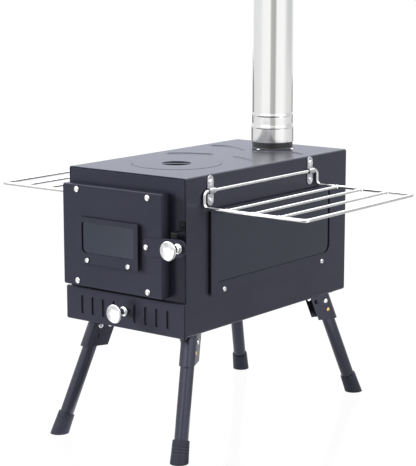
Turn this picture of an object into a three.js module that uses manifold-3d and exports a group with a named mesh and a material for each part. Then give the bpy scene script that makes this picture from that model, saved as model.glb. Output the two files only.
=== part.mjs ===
// A folding wood stove for a tent: a sheet steel firebox on four folding legs, with a glazed door,
// an ash drawer, two folding side racks, a cooking lid and a stovepipe.
//
// Millimetres, +Z up. While the pieces are made, x = 0 is the middle of the body, y = 0 its front
// face, with the door towards -Y, and z = 0 its underside. At the end the whole group is moved so
// that the middle of its underside is the origin.

import * as THREE from 'three';
import { mergeVertices } from 'three/addons/utils/BufferGeometryUtils.js';
import Module from 'manifold-3d';

const wasm = await Module();
wasm.setup();

// ---- Driving dimensions ----

const seat = 0.25; // gap between two pieces that rest on each other
const sheet = 1.5; // body, door and drawer sheet
const thinSheet = 1.2; // liner, clip, bracket and hinge sheet
const millRound = 2.5; // outer radius of a tight bend

// Body
const bodyWidth = 205;
const bodyDepth = 385;
const bodyHeight = 213.5;
const bodyBend = 5;
const plateRim = 9;
const ribWidth = 5;
const ribHeight = 1.2;
const lidRibRadius = 109;
const lidRibDegrees = [42, 52, 62, 72, 82];
const flueRibFromFlue = [[87, -43.6], [60, -34.6], [38, -40.6], [7, -59.6]];

// Cooking lid
const lidRadius = 62;
const lidFromFront = 108;
const lidThickness = 2;
const lidGap = 0.5;
const lidLedge = 6;
const lidProud = 0.3;
const gripRadius = 21;
const gripDepth = 8;
const gripBarWidth = 6;
const gripBarThickness = 2.5;
const gripBarTurn = 37.6;

// Flue
const flueFromBack = 46.4;
const flueBore = 29;
const collarWall = 1.5;
const collarFlangeRadius = 42;
const collarHeight = 31.75;
const collarRivetRing = 35;
const pipeRadius = 30;
const pipeWall = 0.6;
const pipeLength = 350;
const bellOverlap = 23;
const bellShoulder = 1.5;
const bellPlay = 0.05;
const swageStep = 1;
const swageLength = 16.5;
const swageRise = 0.4;

// Door
const doorWidth = 177;
const doorBottom = 51;
const doorBelowTop = 21.5;
const doorDepth = 15;
const doorStandoff = 0.6;
const doorLap = 12;
const doorwayRadius = 8;
const doorRivetFromSide = 25.9;
const doorRivetFromEdge = 7;

// Hinges
const hingeHeight = 30;
const hingeInset = 9;
const hingeLeafLength = 20;
const knuckleRadius = 3;
const pinRadius = 1.2;
const pinHeadRadius = 2.16;
const pinHeadHeight = 1.4;

// Glazing: the glass lies in a pocket between the wall and the cover sheet
const pocket = 3.5;
const glassLap = 3;
const gasketInset = 2;
const coverScrewUp = 4.75;
const doorGlazing = {
  offset: -3.5, fromBottom: 34, fromTop: 43.3, openWidth: 92, openRadius: 7,
  sideBand: 7.5, lowerBand: 14.6, upperBand: 6.9, screwInset: 17,
};
const sideGlazing = {
  offset: 2.5, fromBottom: 50, fromTop: 47, openWidth: 279, openRadius: 12,
  sideBand: 8, lowerBand: 16, upperBand: 8, screwInset: 28.5,
};

// Latch and knobs
const latchFromEdge = 26.8;
const latchBelowMiddle = 2.3;
const latchReach = 55.5;
const latchTilt = 5;
const strapWidth = 24.4;
const strapTail = 5;
const strapCorner = 7;
const strapThickness = 2;
const latchRivetRadius = 2.5;
const latchRivetHead = {
  radius: 3.8, crownRadius: 3.4, side: 1.2, height: 1.8, tailRadius: 4.3, tail: 1.2,
};
const keeperWidth = 9;
const keeperFromSide = 6;
const keeperGap = 0.65;
const keeperRise = 7;
const keeperLip = 6.2;
const keeperBase = 11.5;
const knobLength = 24;
const knobFlangeRadius = 7.15;
const knobNeckRadius = 4;
const knobCapRadius = 13;
const knobStudRadius = 2.5;
const knobFlangeHeight = 2.6;
const knobNeckStart = 4.5;
const knobCapDepth = 7.5;
const knobRim = { width: 1.2, back: 4.6, low: 3.6, high: 2.2, crownWidth: 3, crown: 0.6 };
const peenRadius = 4;
const peenHeight = 1.5;

// Ash drawer, rails and grate
const drawerFrontOverhang = 1.5;
const drawerFrontHeight = 47.5;
const drawerFrontDrop = 1;
const drawerFrontDepth = 5;
const drawerKnobZ = 23.7;
const slotWidth = 5;
const slotBottom = 9.5;
const slotTop = 35;
const slotPitch = 19.2;
const slotsPerSide = 4;
const firstSlot = 18.5;
const slotCentre = -1;
const trayFromSide = 10.5;
const trayFromBack = 45.25;
const trayHeight = 38.2;
const trayWall = 1;
const trayLip = 5;
const trayTab = 13;
const drawerOpeningSide = 2;
const drawerOpeningTop = 44;
const railTop = 47;
const railWidth = 12;
const railDrop = 14;
const railFromFront = 14;
const railFromBack = 15;
const grateFromSide = 4.5;
const grateThickness = 2;
const grateSlotWidth = 8;
const grateSlotLength = 76;
const grateSlotPitch = 30;
const grateSlotRows = 11;
const grateColumnOffset = 46;

// Side racks
const rackFromFront = 168.5;
const rackSpan = 268;
const rackReach = 161.7;
const rackDrop = 21.7;
const rackRodBelowTop = 21.3;
const rackWire = 2.4;
const rackBarWire = 2;
const rackBend = 7;
const rackBarPitch = 42;
const rackBars = 3;
const clipFromRackEnd = 16;
const clipPlay = 0.15;
const clipWidth = 13;
const clipTop = 20.3;
const clipBottom = 20.2;
const clipScrewTop = 11;
const clipScrewBottom = 12.7;

// Legs
const pivotFromSide = 20;
const pivotInset = 31.5;
const pivotDrop = 13.3;
const legPlan = 65;
const legSplay = 21.7;
const legLength = 162.5;
const legRadius = 9.5;
const legWall = 1.5;
const capTopRadius = 11.5;
const capBottomRadius = 12.5;
const capHeight = 30;
const capFloor = 12;
const bracketDepth = 20.5;
const bracketBelowPivot = 22;
const bracketPlateInward = 46;
const bracketPlateOutward = 14;
const bracketRivets = [-20, -38];
const boltRadius = 2.5;
const boltHeadRadius = 3.6;
const boltHeadHeight = 1.8;
const buttonDrop = 15.3;
const buttonRadius = 3.2;
const buttonLength = 4.2;
const buttonCrown = 0.95;
const lockHoleRadius = 3.5;
const springWidth = 5;
const springLength = 22;
const springThickness = 0.6;

// Sides of round work
const fastenerSides = 8;
const pinSides = 10;
const tubeSides = 12;
const knobSides = 14;
const capSides = 16;
const flueSides = 24;
const lidSides = 32;

// How far a cutting tool reaches past what it cuts, through a few sheets, and past everything
const clear = 1;
const holeReach = 10;
const wayOff = 2 * bodyDepth;

// Fasteners: head radius, head height, shank radius
const doorRivet = { head: 4.2, height: 2.2, shank: 2 };
const clipScrew = { head: 4.25, height: 2.4, shank: 1.8 };
const coverScrew = { head: 3.5, height: 1.8, shank: 1.6 };
const collarRivet = { head: 3.5, height: 2, shank: 1.6 };
const bracketRivet = { head: 3.2, height: 1.2, shank: 1.6 };
const keeperRivet = { head: 2.6, height: 1.3, shank: 1.4 };

// ---- Places that follow from them ----

const sideFace = bodyWidth / 2;
const wallInside = sideFace - sheet - seat;
const doorTop = bodyHeight - doorBelowTop;
const doorLeft = -sideFace;
const doorRight = doorLeft + doorWidth;
const doorCentre = (doorLeft + doorRight) / 2;
const doorMiddle = (doorBottom + doorTop) / 2;
const latchPivotX = doorRight - latchFromEdge;
const latchPivotZ = doorMiddle - latchBelowMiddle;
const flueFromFront = bodyDepth - flueFromBack;
const latchTiltAngle = THREE.MathUtils.degToRad(latchTilt);
const knobZ = latchPivotZ + latchReach * Math.sin(latchTiltAngle);
const strapBack = doorDepth + seat;
const strapFront = strapBack + strapThickness;
const keeperRight = sideFace - keeperFromSide + keeperWidth / 2;
const keeperArmZ = knobZ + strapWidth / 2 + keeperRise;
const hingeX = -sideFace - seat - knuckleRadius;
const rackRodX = sideFace + seat + rackWire + seat / 2;
const rackRodZ = bodyHeight - rackRodBelowTop;
const clipSpacing = rackSpan - 2 * clipFromRackEnd;
const railLength = bodyDepth - railFromFront - railFromBack;
const trayHalf = sideFace - trayFromSide;
const pivotX = sideFace - pivotFromSide;
const splayAngle = THREE.MathUtils.degToRad(legSplay);
const channelInside = legRadius + seat;
const channelOutside = channelInside + thinSheet;
const plateTop = pivotDrop - seat;
const doorWindow = windowIn(doorBottom, doorTop, doorGlazing);
const sideWindow = windowIn(0, bodyHeight, sideGlazing);
const xAxis = new THREE.Vector3(1, 0, 0);
const yAxis = new THREE.Vector3(0, 1, 0);
const zAxis = new THREE.Vector3(0, 0, 1);

// Frames for flat work: the drawing's x and y, then the way it is thickened
const towardsFront = basis(xAxis, zAxis, yAxis.clone().negate());
const towardsRight = basis(yAxis, zAxis, xAxis);
const towardsLeft = basis(yAxis.clone().negate(), zAxis, xAxis.clone().negate());

function basis(x, y, z) {
  return new THREE.Matrix4().makeBasis(x, y, z);
}

// A window's cover and opening, in a wall between two heights
function windowIn(wallBottom, wallTop, glazing) {
  const openHalf = glazing.openWidth / 2;
  const coverHalf = openHalf + glazing.sideBand;
  const bottom = wallBottom + glazing.fromBottom;
  const top = wallTop - glazing.fromTop;
  return {
    offset: glazing.offset,
    radius: glazing.openRadius,
    screwX: coverHalf - glazing.screwInset,
    openBottom: bottom + glazing.lowerBand,
    openTop: top - glazing.upperBand,
    openHalf,
    coverHalf,
    bottom,
    top,
  };
}

// ---- Solids: join, cut and overlap of closed geometries ----

function solid(geometry) {
  const bare = geometry.clone();
  bare.deleteAttribute('normal');
  bare.deleteAttribute('uv');
  const merged = mergeVertices(bare);
  return new wasm.Manifold(new wasm.Mesh({
    numProp: 3,
    vertProperties: merged.getAttribute('position').array,
    triVerts: Uint32Array.from(merged.getIndex().array),
  }));
}

function geometryOf(manifold) {
  const mesh = manifold.getMesh();
  const geometry = new THREE.BufferGeometry();
  geometry.setAttribute('position', new THREE.BufferAttribute(mesh.vertProperties, 3));
  geometry.setIndex(new THREE.BufferAttribute(mesh.triVerts, 1));
  geometry.computeVertexNormals();
  return geometry;
}

function join(...pieces) {
  return geometryOf(pieces.map(solid).reduce((whole, piece) => whole.add(piece)));
}

function cut(piece, ...tools) {
  return geometryOf(tools.map(solid).reduce((whole, tool) => whole.subtract(tool), solid(piece)));
}

function overlap(piece, other) {
  return geometryOf(solid(piece).intersect(solid(other)));
}

// ---- Shapes ----

function rectangle(left, right, bottom, top, radius, topRadius = radius) {
  const shape = new THREE.Shape();
  shape.moveTo(left + radius, bottom);
  shape.lineTo(right - radius, bottom);
  shape.quadraticCurveTo(right, bottom, right, bottom + radius);
  shape.lineTo(right, top - topRadius);
  shape.quadraticCurveTo(right, top, right - topRadius, top);
  shape.lineTo(left + topRadius, top);
  shape.quadraticCurveTo(left, top, left, top - topRadius);
  shape.lineTo(left, bottom + radius);
  shape.quadraticCurveTo(left, bottom, left + radius, bottom);
  return shape;
}

function prism(shape, from, to, curveSegments = 3) {
  const options = { depth: to - from, bevelEnabled: false, curveSegments };
  return new THREE.ExtrudeGeometry(shape, options).translate(0, 0, from);
}

function block(left, right, front, back, bottom, top) {
  const geometry = new THREE.BoxGeometry(right - left, back - front, top - bottom);
  return geometry.translate((left + right) / 2, (front + back) / 2, (bottom + top) / 2);
}

// Turned about the z axis, from a profile of [radius, height] that runs upward on its outer side
function turned(profile, sides = 16) {
  const points = profile.map(([radius, height]) => new THREE.Vector2(radius, height));
  return new THREE.LatheGeometry(points, sides).rotateX(Math.PI / 2);
}

function ring(profile, sides) {
  return turned([...profile, profile[0]], sides);
}

function rod(radius, from, to, sides = 10) {
  return turned([[0, from], [radius, from], [radius, to], [0, to]], sides);
}

function arcProfile(radius, from, to, steps) {
  return Array.from({ length: steps + 1 }, (_, i) => {
    const angle = THREE.MathUtils.lerp(from, to, i / steps);
    return [radius * Math.cos(angle), radius * Math.sin(angle)];
  });
}

// A round-headed fastener along z: the head sits on z = 0 and the shank reaches down by its depth
function fastener({ head, height, shank }, depth) {
  return turned([
    [0, -depth], [shank, -depth], [shank, 0], [head, 0], [head * 0.86, height * 0.6], [0, height],
  ], fastenerSides);
}

function fastenerHole({ shank }, from, to) {
  return rod(shank + seat, from, to, fastenerSides);
}

// A pan that opens towards +Y: a face sheet with a rim all round
function pan(left, right, bottom, top, radius, front, depth, wall) {
  const outside = prism(rectangle(left, right, bottom, top, radius), -front - depth, -front);
  const inside = prism(
    rectangle(left + wall, right - wall, bottom + wall, top - wall, radius - wall / 2),
    -front - depth - clear,
    -front - wall,
  );
  return cut(outside, inside).applyMatrix4(towardsFront);
}

function through(shape, front, back) {
  return prism(shape, -back, -front).applyMatrix4(towardsFront);
}

// A wire that follows straight runs with bends between them, with a ring only where it turns
class WireRun extends THREE.Curve {
  constructor(corners, bend, steps) {
    super();
    this.stations = [];
    this.directions = [];
    corners.forEach((corner, i) => {
      const before = corners[i - 1];
      const after = corners[i + 1];
      if (!before || !after) {
        const along = after ? after.clone().sub(corner) : corner.clone().sub(before);
        this.addStation(corner.clone(), along.normalize());
        return;
      }
      const into = corner.clone().sub(before).normalize();
      const away = after.clone().sub(corner).normalize();
      const start = corner.clone().addScaledVector(into, -bend);
      for (let step = 0; step <= steps; step += 1) {
        const turn = (Math.PI / 2) * (step / steps);
        const point = start.clone()
          .addScaledVector(into, bend * Math.sin(turn))
          .addScaledVector(away, bend * (1 - Math.cos(turn)));
        const along = into.clone().multiplyScalar(Math.cos(turn)).addScaledVector(away, Math.sin(turn));
        this.addStation(point, along.normalize());
      }
    });
  }

  addStation(point, direction) {
    this.stations.push(point);
    this.directions.push(direction);
  }

  get steps() {
    return this.stations.length - 1;
  }

  getPointAt(u, target = new THREE.Vector3()) {
    return target.copy(this.stations[Math.round(u * this.steps)]);
  }

  getTangentAt(u, target = new THREE.Vector3()) {
    return target.copy(this.directions[Math.round(u * this.steps)]);
  }
}

function roundSection(radius, sides) {
  const shape = new THREE.Shape();
  for (let side = 0; side < sides; side += 1) {
    const angle = (2 * Math.PI * (side + 0.5)) / sides;
    const point = [radius * Math.cos(angle), radius * Math.sin(angle)];
    if (side === 0) shape.moveTo(...point);
    else shape.lineTo(...point);
  }
  shape.closePath();
  return shape;
}

function bentWire(corners, radius, bend, sides = 8) {
  const path = new WireRun(corners.map((corner) => new THREE.Vector3(...corner)), bend, 3);
  return new THREE.ExtrudeGeometry(roundSection(radius, sides), { extrudePath: path, steps: path.steps });
}

// ---- The assembly ----

const finishes = {
  paint: { color: 0x2b2c33, roughness: 0.55, metalness: 0.3 },
  gloss: { color: 0x17181b, roughness: 0.35, metalness: 0.3 },
  stainless: { color: 0xc9cacb, roughness: 0.22, metalness: 1 },
  chrome: { color: 0xdadbdd, roughness: 0.1, metalness: 1 },
  zinc: { color: 0xb4b6b9, roughness: 0.32, metalness: 1 },
  brass: { color: 0xc39a4e, roughness: 0.3, metalness: 1 },
  castIron: { color: 0x2a2a2c, roughness: 0.8, metalness: 0.6 },
  glass: { color: 0x3c434d, roughness: 0.08, metalness: 0 },
  rubber: { color: 0x121214, roughness: 0.8, metalness: 0 },
};

const stove = new THREE.Group();

function piece(name, geometry, finish, parent = stove) {
  const mesh = new THREE.Mesh(geometry, new THREE.MeshStandardMaterial(finishes[finish]));
  mesh.name = name;
  parent.add(mesh);
  return mesh;
}

function groupAt(matrix, parent = stove) {
  const group = new THREE.Group();
  group.applyMatrix4(matrix);
  parent.add(group);
  return group;
}

// Where things stand, from the right-hand side to the left by a half turn
const doorWindowPlace = towardsFront.clone()
  .setPosition(doorCentre + doorWindow.offset, -doorDepth, 0);
const sideWindowPlaces = {
  right: towardsRight.clone().setPosition(sideFace, bodyDepth / 2 + sideWindow.offset, 0),
  left: towardsLeft.clone().setPosition(-sideFace, bodyDepth / 2 + sideWindow.offset, 0),
};
const rackPlaces = {
  right: new THREE.Matrix4().makeTranslation(0, rackFromFront, 0),
  left: new THREE.Matrix4().makeRotationZ(Math.PI).setPosition(0, rackFromFront, 0),
};
const collarRivetPlaces = [0, 1, 2, 3].map((quarter) => {
  const angle = (quarter * Math.PI) / 2;
  const x = collarRivetRing * Math.cos(angle);
  const y = flueFromFront + collarRivetRing * Math.sin(angle);
  return new THREE.Matrix4().makeTranslation(x, y, bodyHeight + seat + collarWall);
});
const legCorners = [
  { name: 'front_left', right: -1, back: -1 },
  { name: 'front_right', right: 1, back: -1 },
  { name: 'rear_left', right: -1, back: 1 },
  { name: 'rear_right', right: 1, back: 1 },
];
function legPlace({ right, back }) {
  const plan = THREE.MathUtils.degToRad(legPlan);
  const turn = Math.atan2(back * Math.sin(plan), right * Math.cos(plan));
  const fromFront = back > 0 ? bodyDepth - pivotInset : pivotInset;
  return new THREE.Matrix4().makeRotationZ(turn).setPosition(right * pivotX, fromFront, -pivotDrop);
}

// ---- Glazing ----

function windowOpening({ openHalf, openBottom, openTop, radius }, from, to) {
  return prism(rectangle(-openHalf, openHalf, openBottom, openTop, radius, millRound), from, to, 4);
}

function windowScrewPlaces({ bottom, screwX }) {
  return [-1, 1].map((side) => [side * screwX, bottom + coverScrewUp]);
}

// What a window takes out of the wall that carries it
function windowCuts(window, place, depth) {
  const holes = windowScrewPlaces(window)
    .map(([x, y]) => fastenerHole(coverScrew, -depth, seat).translate(x, y, 0));
  return [windowOpening(window, -depth, seat), ...holes].map((tool) => tool.applyMatrix4(place));
}

function windowCover(window) {
  const { coverHalf, bottom, top } = window;
  const face = pocket + sheet;
  const plate = prism(rectangle(-coverHalf, coverHalf, bottom, top, millRound), pocket, face);
  const screws = windowScrewPlaces(window)
    .map(([x, y]) => fastener(coverScrew, face + sheet + clear).translate(x, y, face));
  return join(cut(plate, windowOpening(window, pocket - clear, face + clear)), ...screws);
}

function glassOutline({ openHalf, openBottom, top }, clearance) {
  return [openHalf + glassLap + clearance, openBottom - glassLap - clearance, top - gasketInset];
}

function windowGlass(window) {
  const [half, low, high] = glassOutline(window, 0);
  return prism(rectangle(-half, half, low, high, 1), seat, pocket - seat, 1);
}

function windowGasket(window) {
  const { coverHalf, bottom, top } = window;
  const [half, low, high] = glassOutline(window, seat);
  const side = coverHalf - gasketInset;
  const outline = rectangle(-side, side, bottom + gasketInset, high, 1);
  const strip = prism(outline, seat, pocket - seat, 1);
  const room = block(-half, half, low, top, 0, pocket);
  const holes = windowScrewPlaces(window)
    .map(([x, y]) => fastenerHole(coverScrew, 0, pocket).translate(x, y, 0));
  return cut(strip, room, ...holes);
}

function glaze(window, place, names) {
  const group = groupAt(place);
  piece(names.gasket, windowGasket(window), 'rubber', group);
  piece(names.glass, windowGlass(window), 'glass', group);
  piece(names.cover, windowCover(window), 'paint', group);
}

// ---- Body ----

function rib(curve, steps) {
  const half = ribWidth / 2;
  const section = new THREE.Shape([
    new THREE.Vector2(sheet / 2, -half),
    new THREE.Vector2(sheet / 2, half),
    new THREE.Vector2(0, half),
    new THREE.Vector2(-ribHeight, half / 3),
    new THREE.Vector2(-ribHeight, -half / 3),
    new THREE.Vector2(0, -half),
  ]);
  return new THREE.ExtrudeGeometry(section, { extrudePath: curve, steps }).translate(0, 0, bodyHeight);
}

function lidRib(side) {
  const points = lidRibDegrees.map((degrees) => {
    const angle = THREE.MathUtils.degToRad(degrees);
    return new THREE.Vector3(
      side * lidRibRadius * Math.cos(angle),
      lidFromFront + lidRibRadius * Math.sin(angle),
      0,
    );
  });
  return rib(new THREE.CatmullRomCurve3(points), 8);
}

function flueRib(side) {
  const points = flueRibFromFlue
    .map(([x, y]) => new THREE.Vector3(side * x, flueFromFront + y, 0));
  return rib(new THREE.CatmullRomCurve3(points), 9);
}

function bodyShell() {
  const outline = rectangle(-sideFace, sideFace, 0, bodyHeight, bodyBend);
  outline.holes.push(rectangle(
    -sideFace + sheet, sideFace - sheet, sheet, bodyHeight - sheet, bodyBend - sheet,
  ));
  const sleeve = prism(outline, -bodyDepth, 0, 4).applyMatrix4(towardsFront);
  const rebate = lidThickness - lidProud + seat;
  const ledge = ring([
    [lidRadius + lidGap - lidLedge, bodyHeight - rebate - sheet],
    [lidRadius + lidGap + sheet, bodyHeight - rebate - sheet],
    [lidRadius + lidGap + sheet, bodyHeight - sheet / 2],
    [lidRadius + lidGap, bodyHeight - sheet / 2],
    [lidRadius + lidGap, bodyHeight - rebate],
    [lidRadius + lidGap - lidLedge, bodyHeight - rebate],
  ], lidSides).translate(0, lidFromFront, 0);
  const ribs = [-1, 1].flatMap((side) => [lidRib(side), flueRib(side)]);
  const lidHole = rod(lidRadius + lidGap, bodyHeight - 2 * sheet, bodyHeight + holeReach, lidSides)
    .translate(0, lidFromFront, 0);
  const flueHole = rod(flueBore, bodyHeight - 2 * sheet, bodyHeight + holeReach, flueSides)
    .translate(0, flueFromFront, 0);
  const collarHoles = collarRivetPlaces
    .map((place) => fastenerHole(collarRivet, -holeReach, 0).applyMatrix4(place));
  const windowHoles = Object.values(sideWindowPlaces)
    .flatMap((place) => windowCuts(sideWindow, place, 3 * sheet));
  const clipHoles = Object.values(rackPlaces).flatMap((place) => clipScrewPlaces()
    .map((spot) => fastenerHole(clipScrew, -holeReach, 0).applyMatrix4(spot).applyMatrix4(place)));
  const bracketHoles = legCorners.flatMap((corner) => bracketRivetPlaces()
    .map((spot) => fastenerHole(bracketRivet, -holeReach, 0).applyMatrix4(spot))
    .map((hole) => hole.applyMatrix4(legPlace(corner))));
  const pierced = cut(
    join(sleeve, ...ribs), lidHole, flueHole,
    ...collarHoles, ...windowHoles, ...clipHoles, ...bracketHoles,
  );
  return join(pierced, ledge);
}

// The end plates are pans set inside the ends of the sleeve
function endPlate() {
  const inner = sheet + seat;
  return pan(-wallInside, wallInside, inner, bodyHeight - inner, bodyBend - inner, 0, plateRim, sheet);
}

function frontPlate() {
  const doorway = through(rectangle(
    doorLeft + doorLap, doorRight - doorLap, doorBottom + doorLap, doorTop - doorLap, doorwayRadius,
  ), -clear, 2 * sheet);
  const half = trayHalf + drawerOpeningSide;
  const drawerWay = block(-half, half, -clear, plateRim + clear, 0, drawerOpeningTop);
  const rivetHole = fastenerHole(keeperRivet, -holeReach, holeReach).applyMatrix4(keeperRivetPlace());
  return cut(endPlate(), doorway, drawerWay, rivetHole);
}

function grateRail() {
  const profile = new THREE.Shape([
    new THREE.Vector2(wallInside, railTop - railDrop),
    new THREE.Vector2(wallInside, railTop),
    new THREE.Vector2(wallInside - railWidth, railTop),
    new THREE.Vector2(wallInside - railWidth, railTop - sheet),
    new THREE.Vector2(wallInside - sheet, railTop - sheet),
    new THREE.Vector2(wallInside - sheet, railTop - railDrop),
  ]);
  return prism(profile, -railLength / 2, railLength / 2).applyMatrix4(towardsFront);
}

function fireGrate() {
  const half = sideFace - grateFromSide;
  const plate = prism(
    rectangle(-half, half, -railLength / 2, railLength / 2, millRound),
    railTop + seat,
    railTop + seat + grateThickness,
  );
  const slots = [];
  for (let row = 0; row < grateSlotRows; row += 1) {
    const y = (row - (grateSlotRows - 1) / 2) * grateSlotPitch;
    for (const side of [-1, 1]) {
      const slot = rectangle(
        side * grateColumnOffset - grateSlotLength / 2,
        side * grateColumnOffset + grateSlotLength / 2,
        y - grateSlotWidth / 2,
        y + grateSlotWidth / 2,
        grateSlotWidth / 2,
      );
      slots.push(prism(slot, railTop - clear, railTop + seat + grateThickness + clear, 1));
    }
  }
  return cut(plate, ...slots);
}

piece('body_shell', bodyShell(), 'paint');
piece('front_plate', frontPlate(), 'paint');
piece('back_plate', endPlate(), 'paint').applyMatrix4(
  new THREE.Matrix4().makeRotationZ(Math.PI).setPosition(0, bodyDepth, 0),
);
const railMiddle = railFromFront + railLength / 2;
piece('grate_rail_right', grateRail(), 'paint').position.set(0, railMiddle, 0);
const leftRail = piece('grate_rail_left', grateRail(), 'paint');
leftRail.position.set(0, railMiddle, 0);
leftRail.rotation.z = Math.PI;
piece('fire_grate', fireGrate(), 'castIron').position.set(0, railMiddle, 0);
for (const [side, place] of Object.entries(sideWindowPlaces)) {
  glaze(sideWindow, place, {
    gasket: `side_gasket_${side}`, glass: `side_glass_${side}`, cover: `side_window_cover_${side}`,
  });
}

// ---- Cooking lid ----

function cookLid() {
  const low = lidProud - lidThickness;
  const cup = turned([
    [0, lidProud - gripDepth - thinSheet],
    [gripRadius + thinSheet, lidProud - gripDepth - thinSheet],
    [gripRadius + thinSheet, low],
    [lidRadius, low],
    [lidRadius, lidProud],
    [gripRadius, lidProud],
    [gripRadius, lidProud - gripDepth],
    [0, lidProud - gripDepth],
  ], lidSides);
  const half = gripRadius + thinSheet / 2;
  const bar = block(
    -half, half, -gripBarWidth / 2, gripBarWidth / 2, lidProud - gripBarThickness, lidProud - 0.1,
  ).rotateZ(THREE.MathUtils.degToRad(gripBarTurn));
  return join(cup, bar);
}

piece('cook_lid', cookLid(), 'paint').position.set(0, lidFromFront, bodyHeight);

// ---- Flue ----

const bellBore = flueBore + collarWall + seat + bellPlay;

function flueCollar() {
  const neck = flueBore + collarWall;
  const body = ring([
    [flueBore, bodyHeight + seat],
    [collarFlangeRadius, bodyHeight + seat],
    [collarFlangeRadius, bodyHeight + seat + collarWall],
    [neck, bodyHeight + seat + collarWall],
    [neck, bodyHeight + seat + collarHeight],
    [flueBore, bodyHeight + seat + collarHeight],
  ], flueSides).translate(0, flueFromFront, 0);
  const rivets = collarRivetPlaces
    .map((place) => fastener(collarRivet, collarWall + seat + sheet + clear).applyMatrix4(place));
  return join(body, ...rivets);
}

// The lowest part is a bell that slips over the collar, then a swaged length, then the plain pipe
function pipeSection() {
  const rest = bodyHeight + 2 * seat + collarHeight;
  const swage = pipeRadius + swageRise;
  const shoulder = rest + bellShoulder;
  const plain = shoulder + swageLength;
  const top = rest - bellOverlap + pipeLength;
  const bell = bellBore + pipeWall;
  return ring([
    [bell, rest - bellOverlap],
    [bell, rest],
    [swage, shoulder],
    [swage, plain],
    [pipeRadius, plain + swageStep],
    [pipeRadius, top],
    [pipeRadius - pipeWall, top],
    [pipeRadius - pipeWall, plain + swageStep],
    [swage - pipeWall, plain],
    [swage - pipeWall, shoulder],
    [bellBore, rest],
    [bellBore, rest - bellOverlap],
  ], flueSides).translate(0, flueFromFront, 0);
}

piece('flue_collar', flueCollar(), 'gloss');
piece('pipe_section', pipeSection(), 'stainless');

// ---- Door ----

const doorBack = doorDepth - doorStandoff;
const doorRivetSpots = [doorLeft + doorRivetFromSide, doorRight - doorRivetFromSide]
  .flatMap((x) => [doorBottom + doorRivetFromEdge, doorTop - doorRivetFromEdge].map((z) => [x, z]));
const doorRivetPlaces = doorRivetSpots.map(([x, z]) => towardsFront.clone().setPosition(x, -doorDepth, z));
const latchPlace = towardsFront.clone().setPosition(latchPivotX, -doorDepth, latchPivotZ);

function doorHoles(reach) {
  const rivets = doorRivetPlaces
    .map((place) => fastenerHole(doorRivet, -reach, clear).applyMatrix4(place));
  const pivot = rod(latchRivetRadius + seat, -reach, clear).applyMatrix4(latchPlace);
  return [...rivets, pivot, ...windowCuts(doorWindow, doorWindowPlace, reach)];
}

function doorShell() {
  const shell = pan(
    doorLeft, doorRight, doorBottom, doorTop, millRound, -doorDepth, doorBack, sheet,
  );
  const rivets = doorRivetPlaces
    .map((place) => fastener(doorRivet, sheet + seat + thinSheet + clear).applyMatrix4(place));
  return join(cut(shell, ...doorHoles(2 * sheet)), ...rivets);
}

// The liner is a plate against the back of the face, with a rim turned back round the window
function doorLiner() {
  const gap = sheet + seat;
  const front = -doorDepth + gap;
  const plate = through(
    rectangle(doorLeft + gap, doorRight - gap, doorBottom + gap, doorTop - gap, millRound),
    front,
    front + thinSheet,
  );
  const rimHalf = doorWindow.openHalf + glassLap;
  const rimLow = doorWindow.openBottom - glassLap;
  const rimHigh = doorWindow.openTop + glassLap;
  const centre = doorCentre + doorWindow.offset;
  const rim = through(
    rectangle(centre - rimHalf, centre + rimHalf, rimLow, rimHigh, doorWindow.radius + clear),
    front,
    front + doorBack / 2,
  );
  return cut(join(plate, rim), ...doorHoles(doorDepth));
}

glaze(doorWindow, doorWindowPlace, {
  gasket: 'door_gasket', glass: 'door_glass', cover: 'door_window_cover',
});
piece('door_shell', doorShell(), 'paint');
piece('door_liner', doorLiner(), 'paint');

// ---- Hinges: each pin stands on its fixed leaf, and the door's knuckle turns on its upper half ----

function hingeHalf(leafOutline, bore, low, high) {
  const knuckle = bore > 0
    ? ring([[bore, low], [knuckleRadius, low], [knuckleRadius, high], [bore, high]], knobSides)
    : rod(knuckleRadius, low, high, knobSides);
  const [front, back] = leafOutline;
  const leaf = block(knuckleRadius - thinSheet, knuckleRadius, front, back, low, high);
  const joined = join(knuckle, leaf);
  return bore > 0 ? cut(joined, rod(bore, low - clear, high + clear, knobSides)) : joined;
}

function fixedLeaf() {
  const middle = hingeHeight / 2;
  const leaf = hingeHalf([0, hingeLeafLength], 0, 0, middle - seat / 2);
  const top = hingeHeight + pinHeadHeight;
  const pin = turned([
    [0, sheet],
    [pinRadius, sheet],
    [pinRadius, hingeHeight + seat],
    [pinHeadRadius, hingeHeight + seat],
    [pinHeadRadius, top - seat],
    [0, top],
  ], pinSides);
  return join(leaf, pin);
}

function doorLeaf() {
  const outline = [doorStandoff - doorDepth + millRound, 0];
  return hingeHalf(outline, pinRadius + seat, (hingeHeight + seat) / 2, hingeHeight);
}

const hingeLevels = { upper: doorTop - hingeInset - hingeHeight, lower: doorBottom + hingeInset };
for (const [level, z] of Object.entries(hingeLevels)) {
  piece(`hinge_leaf_${level}`, fixedLeaf(), 'gloss').position.set(hingeX, 0, z);
  piece(`door_hinge_leaf_${level}`, doorLeaf(), 'gloss').position.set(hingeX, 0, z);
}

// ---- Latch and knobs ----

// A knob stands on z = 0, and its stud reaches back through the sheets to a peened end
function knob(grip) {
  const body = [
    [knobFlangeRadius, 0],
    [knobFlangeRadius, knobFlangeHeight],
    [knobNeckRadius, knobNeckStart],
    [knobNeckRadius, knobLength - knobCapDepth],
    [knobCapRadius - knobRim.width, knobLength - knobRim.back],
    [knobCapRadius, knobLength - knobRim.low],
    [knobCapRadius, knobLength - knobRim.high],
    [knobCapRadius - knobRim.crownWidth, knobLength - knobRim.crown],
    [0, knobLength],
  ];
  const peen = -grip - seat;
  return turned([
    [0, peen - peenHeight],
    [peenRadius, peen - peenHeight],
    [peenRadius, peen],
    [knobStudRadius, peen],
    [knobStudRadius, 0],
    ...body,
  ], knobSides);
}

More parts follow.
